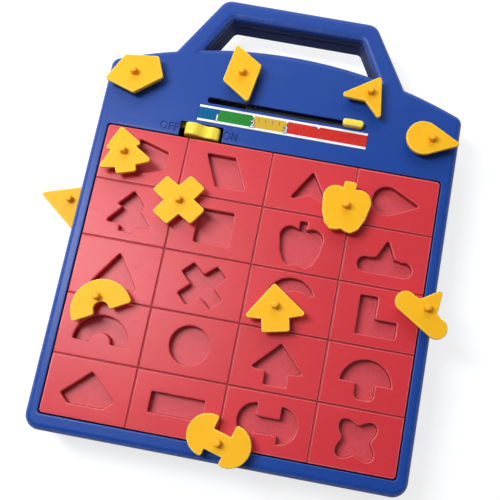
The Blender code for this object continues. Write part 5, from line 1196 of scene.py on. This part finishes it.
def make_shape(shape, x, y, bottom, turn_deg, finish, sizes):
    """A flange over a plug, with a knob that grows out of the flange."""
    shell = Shell()
    outline = shape_outline(shape)
    plug_top = 5.4 * MM
    top, rim = plug_top + 2.6 * MM, sizes.shape_rim
    # The flange's rounding is marked paler, for the amber's painted edge highlight.
    borders = [
        (SHAPE_LIP - 0.25 * MM, plug_top, 0.5), (SHAPE_LIP, plug_top + 0.25 * MM, 0.8),
        *[(SHAPE_LIP - rim * inward, top - rim * down, 1 - angle / tau) for inward, down, angle in quarter_round(5)],
        (SHAPE_LIP - rim - 0.1 * MM, top, 0.2),
    ]
    low, face = shell.stack([(offset(outline, outwards, 4), height, wear) for outwards, height, wear in borders])
    shell.cap(low, up=False)
    knob_x, knob_y = (REACH * share for share in KNOB_SHARES.get(shape, (0, 0)))
    knob = sizes.knob_radius
    # The knob's upper rounding is marked paler, a painted highlight.
    knob_levels = [
        (2.65 * MM, top, 0.0), (1.08 * knob, top + 0.12 * MM, 0.0), (1.02 * knob, top + 0.4 * MM, 0.0),
        (knob, top + 1 * MM, 0.1), (0.96 * knob, top + 4.1 * MM, 0.4), (0.88 * knob, top + 4.55 * MM, 0.9),
        (0.68 * knob, top + 4.88 * MM, 0.8), (0.40 * knob, top + 5 * MM, 0.5),
    ]
    foot, peak = shell.stack([(circle(knob_x, knob_y, radius, 24), z, wear) for radius, z, wear in knob_levels])
    shell.cap(face, [foot])
    shell.cap(peak)
    core = offset(outline, -1.3 * MM)
    shell.solid([
        (offset(core, outwards * MM, 3), height, wear) for outwards, height, wear in (
            (0.4, 0, 0.7), (0.72, 0.12 * MM, 1), (0.9, 0.5 * MM, 0.5), (0.9, plug_top + 1 * MM, 0),
        )
    ])
    place = Matrix.Translation((x, y, bottom)) @ Matrix.Rotation(radians(turn_deg), 4, "Z")
    shell.transform(place)
    shell.knob = place @ Vector((knob_x, knob_y, 0))
    shell.piece(
        f"{shape}_loose_shape", [amber_plastic(finish)], f"{shape}_shape", "amber_plastic", f"{shape}_piece"
    )


def make_shapes(finish, sizes):
    above = CASE_TOP + 0.3 * MM
    for shares, (x, y), (wide, deep), bottom in (
        (TRAY_LYING_SHARES, (0, 0), (TRAY_HALF_WIDTH, TRAY_HALF_DEPTH), above),
        (PANEL_LYING_SHARES, (0, WINDOW_HALF_DEPTH), (CASE_HALF_WIDTH, PANEL_DEPTH), above),
        (FRONT_LYING_SHARES, (0, -CASE_FRONT), (PIECE_PITCH, -PIECE_PITCH), 0),
        (SIDE_LYING_SHARES, (-CASE_HALF_WIDTH, 0), (-PIECE_PITCH, TRAY_HALF_DEPTH), 0),
    ):
        for shape, (x_share, y_share, turn) in shares.items():
            make_shape(shape, x + wide * x_share, y + deep * y_share, bottom, turn, finish, sizes)


# The scale, the pointer and the switch

def printed_number(text, x, y, height, z, swell, material, name):
    """A flat printed numeral, with an even thickness too small to see."""
    curve = bpy.data.curves.new(name, "FONT")
    curve.body, curve.size, curve.offset = text, height / 0.72, swell
    curve.align_x = curve.align_y = "CENTER"
    curve.extrude, curve.resolution_u = 0.012 * MM, 6
    drawn = linked(name, curve)
    bpy.context.view_layer.update()
    mesh = bpy.data.meshes.new_from_object(drawn.evaluated_get(bpy.context.evaluated_depsgraph_get()))
    bpy.data.objects.remove(drawn)
    bpy.data.curves.remove(curve)
    mesh.transform(Matrix.Translation((x, y, z)))
    mesh.materials.clear()
    finished_object(name, mesh, [material], "case", "scale_card")


def make_scale(finish, sizes):
    """The card, its numerals in white on a dark outline, its notches and its row of ticks."""
    shell = Shell()
    edge = 0.35 * MM
    outline = rectangle(SCALE_LOW.x, SCALE_LOW.y, SCALE_HIGH.x, SCALE_HIGH.y, edge)
    inner, bevel = offset(outline, -edge * 0.6), edge * 0.6
    shell.solid([
        (inner, SCALE_LOW.z, 0), (outline, SCALE_LOW.z + bevel, 0.9), (outline, SCALE_HIGH.z - bevel, 0.9),
        (inner, SCALE_HIGH.z, 0),
    ])
    shell.piece("printed_timer_scale", [printed_scale(finish)], "case", "scale_card", "timer_scale")
    white = print_ink("white_print_ink", (0.86, 0.86, 0.84))
    dark = print_ink("dark_print_ink", (0.035, 0.04, 0.06))
    top = SCALE_HIGH.z
    for text, x in NUMERAL_PLACES:
        for label, z, swell, ink in (("shadow", 0.016, 0.50, dark), ("face", 0.05, 0.06, white)):
            printed_number(
                text, x, NUMERALS_Y, sizes.numeral_height, top + z * MM, swell * MM, ink, f"numeral_{text}_{label}"
            )
    marks = Shell()
    wide, high = 1.1 * MM, SCALE_HIGH.y - 1.5 * MM
    for x in (*ZONE_EDGES[1:], LAST_NOTCH_X):
        notch = [(x, high - 1.5 * MM), (x + wide, high), (x - wide, high)]
        marks.solid([(notch, top + 0.002 * MM, 0), (notch, top + 0.03 * MM, 0.2)])
    marks.piece("scale_notches", [white], "case", "scale_card")
    mesh = tick_tree().grown("ticks", [(*FIRST_TICK, top + 0.02 * MM)], {"Material": dark})
    finished_object("scale_ticks", mesh, [], "case", "scale_card")


def make_pointer(finish):
    low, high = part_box("timer_pointer")
    middle_x, middle_y = (low.x + high.x) / 2, (low.y + high.y) / 2
    foot = CASE_TOP + 0.3 * MM
    shell = Shell()
    outline = rectangle(low.x, low.y, high.x, high.y, 1.9 * MM)
    shell.solid([
        (offset(outline, -0.3 * MM), foot, 0.4), (outline, foot + 0.3 * MM, 0.6),
        *rounding(outline, high.z, 1.3 * MM, 6, 0.8),
    ])
    shell.block((middle_x - 3 * MM, middle_y - MM, low.z), (middle_x + 3 * MM, middle_y + MM, foot + MM))
    shell.piece("timer_pointer_cap", [lemon_plastic(finish)], "pointer", "lemon_plastic", "timer_pointer")


def rocker_outline():
    """The rocker from the front, round its axis: a wave with a high and a low crest."""
    half = 11.4 * MM
    corners = [
        (-half, -0.5 * MM, 0), (-0.45 * half, -3 * MM, 2 * MM), (0.45 * half, -3 * MM, 2 * MM), (half, -0.5 * MM, 0),
    ]
    top = arc(half - 3.2 * MM, 3.4 * MM, 3.2 * MM, 0, 70, 10)
    waves = ((half - 4.8 * MM, 7.1 * MM), (1.8 * MM, 6.2 * MM), (-5.2 * MM, 8.5 * MM), (2.6 * MM - half, 7.9 * MM))
    for (x, y), (next_x, next_y) in zip(waves, waves[1:]):
        for step in range(6):
            share = step / 6
            top.append((x + (next_x - x) * share, y + (next_y - y) * (1 - cos(pi * share)) / 2))
    top += arc(3.0 * MM - half, 4.9 * MM, 3.0 * MM, 100, 180, 10)
    return rounded_outline([*corners, *[(x, y, 0) for x, y in top]])


def make_rocker(finish):
    shell = Shell()
    front, rear = WINDOW_HALF_DEPTH + 0.75 * MM, SWITCH_REAR - 0.6 * MM
    half = (rear - front) / 2
    outline = rocker_outline()
    edge = 1.0 * MM
    # The rocker's rounded edges are marked paler: rubbing plus a painted highlight.
    levels = [
        (offset(outline, -edge * down), -half + edge * inward, 0.7 * sin(2 * angle))
        for inward, down, angle in quarter_round(5)
    ]
    levels += [(outline, -z, wear) for outline, z, wear in reversed(levels)]
    shell.solid(levels)
    shell.transform(Matrix.Rotation(radians(90), 4, "X"))
    arm_left, arm_rear = -14.75 * MM, half + 3.4 * MM
    shell.block((arm_left, half - 1.2 * MM, -4.5 * MM), (-7 * MM, arm_rear, -2.4 * MM))
    shell.block((arm_left, half + 0.5 * MM, -8.6 * MM), (arm_left + 1.5 * MM, arm_rear, -2.6 * MM))
    shell.transform(
        Matrix.Translation((ROCKER_X, (front + rear) / 2, CASE_TOP - 6 * MM))
        @ Matrix.Rotation(radians(7), 4, "Y")
    )
    shell.piece("wave_switch_rocker", [lemon_plastic(finish)], "switch", "lemon_plastic", "switch_rocker")


# What repeats or follows a path, made with Geometry Nodes

class Growth(Nodes):
    """A Geometry Nodes tree with named inputs, whose result is real geometry with a material."""

    def __init__(self, name, inputs):
        super().__init__(bpy.data.node_groups.new(name, "GeometryNodeTree"))
        face = self.tree.interface
        face.new_socket("Geometry", in_out="INPUT", socket_type="NodeSocketGeometry")
        for label, value in inputs.items():
            kind = {float: "Float", int: "Int", tuple: "Vector"}[type(value)]
            face.new_socket(label, in_out="INPUT", socket_type=f"NodeSocket{kind}").default_value = value
        face.new_socket("Material", in_out="INPUT", socket_type="NodeSocketMaterial")
        face.new_socket("Geometry", in_out="OUTPUT", socket_type="NodeSocketGeometry")
        self.given = {socket.name: Value(self, socket) for socket in self.node("NodeGroupInput").outputs}
        self.result = self.node("NodeGroupOutput").inputs[0]

    def lifted(self, shape, height):
        """Geometry moved up by a height, which may be a socket."""
        along = self.out("ShaderNodeCombineXYZ", {2: height})
        return self.out("GeometryNodeTransform", {"Geometry": shape, "Translation": along})

    def helix_wire(self, resolution, turns, start, end, height, sides, radius):
        """A closed wire along a helix."""
        helix = self.out("GeometryNodeCurveSpiral", {
            "Resolution": resolution, "Rotations": turns, "Start Radius": start, "End Radius": end, "Height": height,
        })
        profile = self.out("GeometryNodeCurvePrimitiveCircle", {"Resolution": sides, "Radius": radius})
        return self.out("GeometryNodeCurveToMesh", {"Curve": helix, "Profile Curve": profile, "Fill Caps": True})

    def planted(self, shape, **turned):
        """Ends the tree with a copy of a shape on each point, as real geometry in its material."""
        copies = self.out("GeometryNodeInstanceOnPoints", {
            "Points": self.given["Geometry"], "Instance": shape, **turned,
        })
        real = self.out("GeometryNodeRealizeInstances", {"Geometry": copies})
        painted = self.out("GeometryNodeSetMaterial", {"Geometry": real, "Material": self.given["Material"]})
        self.feed(self.result, painted)
        return self

    def grown(self, name, places, values):
        """The mesh that the tree makes on these places, with its inputs set by their names."""
        mesh = bpy.data.meshes.new(name)
        mesh.from_pydata(places, [], [])
        made = linked(name, mesh)
        modifier = made.modifiers.new(name, "NODES")
        modifier.node_group = self.tree
        for item in self.tree.interface.items_tree:
            if item.in_out == "INPUT" and item.name in values:
                modifier[item.identifier] = values[item.name]
        bake(made)
        grown = made.data
        bpy.data.objects.remove(made)
        return grown


def coil_tree():
    """Compression springs on points, each a round wire along a helix."""
    tree = Growth("Coil springs", {
        "Coil radius": 5.2 * MM, "Wire radius": 0.5 * MM, "Height": 28 * MM, "Turns": 6.0,
    })
    coil, wire, height, turns = (tree.given[name] for name in ("Coil radius", "Wire radius", "Height", "Turns"))
    return tree.planted(tree.helix_wire(32, turns, coil, coil, height, 10, wire))


def screw_tree():
    """Cross-recessed screws on points, pointing up from the underside of their heads."""
    tree = Growth("Cross-head screws", {
        "Head radius": 2.6 * MM, "Head height": 1.8 * MM, "Shank radius": 1.3 * MM, "Length": 24 * MM,
        "Thread pitch": 1.1 * MM, "Turned": (0.0, 0.0, 0.0),
    })
    head_radius, head_height = tree.given["Head radius"], tree.given["Head height"]
    shank, length = tree.given["Shank radius"], tree.given["Length"]
    head = tree.out("GeometryNodeMeshCylinder", {"Vertices": 32, "Radius": head_radius, "Depth": head_height * 0.62})
    head = tree.lifted(head, head_height * -0.31)
    crown = tree.out("GeometryNodeMeshCone", {
        "Vertices": 32, "Radius Top": head_radius * 0.97, "Radius Bottom": head_radius * 0.8,
        "Depth": head_height * 0.5,
    })
    crown = tree.lifted(crown, head_height * -1.0)
    cut = tree.out("GeometryNodeMeshBoolean", {"Mesh 2": [head, crown]}, {"operation": "UNION", "solver": "EXACT"})
    for long, wide in ((1.25, 0.26), (0.26, 1.25)):
        size = tree.out("ShaderNodeCombineXYZ", {
            0: head_radius * long, 1: head_radius * wide, 2: head_height * 1.1,
        })
        arm = tree.lifted(tree.out("GeometryNodeMeshCube", {"Size": size}), head_height * -1.0)
        cut = tree.out("GeometryNodeMeshBoolean", {"Mesh 1": cut, "Mesh 2": arm}, {
            "operation": "DIFFERENCE", "solver": "EXACT",
        })
    rod = tree.out("GeometryNodeMeshCylinder", {"Vertices": 20, "Radius": shank * 0.8, "Depth": length * 0.96})
    rod = tree.lifted(rod, length * 0.47)
    turns = length * 0.86 / tree.given["Thread pitch"]
    thread = tree.helix_wire(14, turns, shank * 0.8, shank * 0.7, length * 0.86, 4, shank * 0.19)
    whole = tree.out("GeometryNodeJoinGeometry", {0: [cut, rod, tree.lifted(thread, length * 0.1)]})
    return tree.planted(whole, Rotation=tree.given["Turned"])


def tick_tree():
    """A row of equal printed strokes."""
    tree = Growth("Printed ticks", {"Count": 4, "Pitch": 4.4 * MM, "Size": (0.35 * MM, 2.6 * MM, 0.03 * MM)})
    step = tree.out("ShaderNodeCombineXYZ", {0: tree.given["Pitch"]})
    line = tree.out("GeometryNodeMeshLine", {"Count": tree.given["Count"], "Offset": step})
    stroke = tree.out("GeometryNodeMeshCube", {"Size": tree.given["Size"]})
    return tree.planted(tree.out("GeometryNodeInstanceOnPoints", {"Points": line, "Instance": stroke}))


def middle_of(node):
    low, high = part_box(node)
    return (low.x + high.x) / 2, (low.y + high.y) / 2


def numbered(stem, first, last):
    return [f"{stem}_{number}" for number in range(first, last + 1)]


def make_springs(sizes):
    names = numbered("tray_spring", 1, 4)
    low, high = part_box(names[0])
    wire = 0.5 * MM
    tree = coil_tree()
    for name in names:
        mesh = tree.grown(name, [(*middle_of(name), low.z + wire)], {
            "Turns": float(sizes.coil_turns), "Height": high.z - low.z - 2 * wire, "Material": spring_steel(),
        })
        made = finished_object(f"{name}_coil", mesh, [], frame["nodes"][name]["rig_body"], "steel", name)
        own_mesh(made)


def make_screws():
    tree = screw_tree()
    for name, nodes, head, height, shank, upwards in (
        ("case_screws", numbered("case_screw", 1, 7), 2.6, 1.8, 1.3, True),
        ("handle_screws", numbered("case_screw", 8, 9), 2.6, 1.8, 1.3, True),
        ("plate_screws", numbered("plate_screw", 1, 4), 2.2, 1.5, 1.0, False),
        ("base_screws", numbered("base_screw", 1, 2), 2.2, 1.5, 1.0, False),
    ):
        low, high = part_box(nodes[0])
        bearing = low.z + height * MM if upwards else high.z - height * MM
        length = high.z - bearing if upwards else bearing - low.z
        mesh = tree.grown(name, [(*middle_of(node), bearing) for node in nodes], {
            "Head radius": head * MM, "Head height": height * MM, "Shank radius": shank * MM, "Length": length,
            "Turned": (0.0, 0.0, 0.4) if upwards else (pi, 0.0, 0.4), "Material": steel(),
        })
        finished_object(name, mesh, [], "case", "steel", *nodes)


def paint_movement(finish):
    """Better finishes for the movement's own CAD parts."""
    for material, names in (
        (dark_acetal(finish), ("timer_rack",)), (nylon(finish), ("rack_pinion",)),
        (brass(), ("winding_wheel", "second_wheel", "escape_wheel")), (spring_steel(), ("mainspring",)),
        (steel(), ("pallet_lever", "movement_base", "movement_top_plate", "latch_plate", "switch_pin")),
    ):
        for name in names:
            for slot in frame["nodes"][name].material_slots:
                slot.material = material


# The studio

FLOOR_HALF, FLOOR_HEIGHT = 2.4, -0.0002
LAMP_COLOUR = (0.93, 0.96, 1.0)
LAMPS = (  # each with its place, its aim, its size and the choice that holds its power
    ("key_light", (-0.42, 0.15, 0.80), (-0.05, 0.02, 0.03), (0.20, 0.50), "key_watts"),
    ("rear_light", (-0.20, 1.20, 0.95), (0, 0, 0.03), (1.4, 1.0), "rim_watts"),
)


def make_camera(stage):
    data = bpy.data.cameras.new("photo_view")
    data.sensor_width, data.lens, data.clip_start = 36, stage.focal_length, 0.01
    data.shift_x, data.shift_y = stage.camera_shift
    camera = linked("photo_view", data)
    back = -Vector(stage.camera_aim).normalized()
    right = Vector(stage.camera_up).cross(back).normalized()
    up = back.cross(right)
    turned = Matrix((right, up, back)).transposed().to_4x4()
    camera.matrix_world = Matrix.Translation(Vector(stage.camera_place)) @ turned
    bpy.context.scene.camera = camera


def make_lamp(name, place, aim, size, watts):
    data = bpy.data.lights.new(name, "AREA")
    data.shape = "RECTANGLE"
    data.size, data.size_y = size
    data.energy, data.color = watts, LAMP_COLOUR
    direction = Vector(place) - Vector(aim)
    turned = direction.to_track_quat("Z", "Y").to_matrix().to_4x4()
    linked(name, data).matrix_world = Matrix.Translation(place) @ turned


def make_floor():
    """A pale floor that the camera sees as white, apart from the object's soft shadow."""
    mesh = bpy.data.meshes.new("studio_floor")
    corners = [(x * FLOOR_HALF, y * FLOOR_HALF, FLOOR_HEIGHT) for x, y in ((-1, -1), (1, -1), (1, 1), (-1, 1))]
    mesh.from_pydata(corners, [], [(0, 1, 2, 3)])
    floor = linked("studio_floor", mesh)
    paint = Paint("studio_floor", specular=0.0)
    grain = paint.noise(60, 3)
    colour = paint.mix(grain, (0.34, 0.34, 0.35, 1), (0.38, 0.38, 0.38, 1))
    mesh.materials.append(paint.finished(colour, 0.8 + 0.1 * grain))
    plain = paint.shader.outputs[0]
    glow = paint.out("ShaderNodeEmission", {"Color": (1, 1, 1, 1), "Strength": 0.74})
    both = paint.out("ShaderNodeAddShader", {0: plain, 1: glow})
    seen = paint.out("ShaderNodeMixShader", {0: paint.background_seen(), 1: plain, 2: both})
    paint.feed(paint.tree.nodes["Material Output"].inputs["Surface"], seen)


def make_sky(strength):
    """White walls for the rays that show the background, with a dimmer light from above them."""
    world = bpy.data.worlds.new("studio_sky")
    bpy.context.scene.world = world
    world.use_nodes = True
    nodes = Nodes(world.node_tree)
    nodes.tree.nodes.clear()
    direction = nodes.out("ShaderNodeTexCoord", output="Generated")
    height = nodes.out("ShaderNodeSeparateXYZ", {0: direction}, output=2)
    camera = Value(nodes, nodes.out("ShaderNodeLightPath", output="Is Camera Ray"))
    wall = camera.math("MAXIMUM", camera, 1 - nodes.between(height, 0.2, 0.6))
    white = wall * nodes.background_seen()
    light = nodes.out("ShaderNodeBackground", {"Color": (1, 1, 1, 1), "Strength": strength + (1 - strength) * white})
    nodes.feed(nodes.node("ShaderNodeOutputWorld").inputs["Surface"], light)


# Operators, one for each piece or group of like pieces

def choices(context):
    """The finish and the sizes that the user has set."""
    return context.scene.shape_game_finish, context.scene.shape_game_sizes


class SHAPEGAME_OT_upper_case(Operator):
    """Build the case's upper shell with its window, slot, scale bed and handle"""

    bl_idname = "shape_game.upper_case"
    bl_label = "Upper case shell"

    def execute(self, context):
        make_case_top(*choices(context))
        return {"FINISHED"}


class SHAPEGAME_OT_lower_case(Operator):
    """Build the case's lower shell with its screw wells and the handle's lower half"""

    bl_idname = "shape_game.lower_case"
    bl_label = "Lower case shell"

    def execute(self, context):
        make_case_bottom(*choices(context))
        return {"FINISHED"}


class SHAPEGAME_OT_tray(Operator):
    """Build the pop-up tray with its twenty recesses and its grooves"""

    bl_idname = "shape_game.tray"
    bl_label = "Pop-up tray"

    def execute(self, context):
        make_tray(*choices(context))
        return {"FINISHED"}


class SHAPEGAME_OT_loose_shapes(Operator):
    """Build the twenty loose shapes with their flanges, plugs and knobs"""

    bl_idname = "shape_game.loose_shapes"
    bl_label = "Loose shapes"

    def execute(self, context):
        make_shapes(*choices(context))
        return {"FINISHED"}


class SHAPEGAME_OT_timer_scale(Operator):
    """Build the printed scale with its numbers, notches and ticks"""

    bl_idname = "shape_game.timer_scale"
    bl_label = "Timer scale"

    def execute(self, context):
        make_scale(*choices(context))
        return {"FINISHED"}


class SHAPEGAME_OT_controls(Operator):
    """Build the timer's pointer and the wave-topped switch"""

    bl_idname = "shape_game.controls"
    bl_label = "Pointer and switch"

    def execute(self, context):
        make_pointer(context.scene.shape_game_finish)
        make_rocker(context.scene.shape_game_finish)
        return {"FINISHED"}


class SHAPEGAME_OT_springs_and_screws(Operator):
    """Grow the tray springs and all screws with Geometry Nodes"""

    bl_idname = "shape_game.springs_and_screws"
    bl_label = "Springs and screws"

    def execute(self, context):
        make_springs(context.scene.shape_game_sizes)
        make_screws()
        return {"FINISHED"}


class SHAPEGAME_OT_movement(Operator):
    """Give the movement's CAD parts their brass, steel and nylon"""

    bl_idname = "shape_game.movement"
    bl_label = "Movement finishes"

    def execute(self, context):
        paint_movement(context.scene.shape_game_finish)
        return {"FINISHED"}


class SHAPEGAME_OT_stage(Operator):
    """Set up the floor, the soft lights and the photograph's view"""

    bl_idname = "shape_game.stage"
    bl_label = "Studio"

    def execute(self, context):
        stage = context.scene.shape_game_stage
        make_camera(stage)
        make_floor()
        make_sky(stage.sky)
        for *lamp, watts in LAMPS:
            make_lamp(*lamp, getattr(stage, watts))
        context.scene.view_settings.view_transform = "Standard"
        return {"FINISHED"}


class SHAPEGAME_PT_pieces(Panel):
    """Lists the builders of the game's pieces"""

    bl_idname = "SHAPEGAME_PT_pieces"
    bl_label = "Pop-up shape game"
    bl_space_type = "VIEW_3D"
    bl_region_type = "UI"
    bl_category = "Shape game"

    def draw(self, context):
        for builder in BUILDERS:
            self.layout.operator(builder.bl_idname)
        for group in GROUPS:
            values = getattr(context.scene, group)
            box = self.layout.box()
            for name in values.bl_rna.properties.keys():
                if name not in ("rna_type", "name"):
                    box.prop(values, name)


BUILDERS = (
    SHAPEGAME_OT_upper_case, SHAPEGAME_OT_lower_case, SHAPEGAME_OT_tray, SHAPEGAME_OT_loose_shapes,
    SHAPEGAME_OT_timer_scale, SHAPEGAME_OT_controls, SHAPEGAME_OT_springs_and_screws,
    SHAPEGAME_OT_movement, SHAPEGAME_OT_stage,
)
GROUPS = {
    "shape_game_finish": ShapeGameFinish, "shape_game_sizes": ShapeGameSizes, "shape_game_stage": ShapeGameStage,
}
CLASSES = (*GROUPS.values(), *BUILDERS, SHAPEGAME_PT_pieces)


def register():
    for made in CLASSES:
        bpy.utils.register_class(made)
    for name, group in GROUPS.items():
        setattr(bpy.types.Scene, name, PointerProperty(type=group))


def unregister():
    for name in GROUPS:
        delattr(bpy.types.Scene, name)
    for made in reversed(CLASSES):
        bpy.utils.unregister_class(made)


def main():
    register()
    bpy.ops.shape_game.upper_case()
    bpy.ops.shape_game.lower_case()
    bpy.ops.shape_game.tray()
    bpy.ops.shape_game.loose_shapes()
    bpy.ops.shape_game.timer_scale()
    bpy.ops.shape_game.controls()
    bpy.ops.shape_game.springs_and_screws()
    bpy.ops.shape_game.movement()
    bpy.ops.shape_game.stage()


if __name__ == "__main__":
    main()
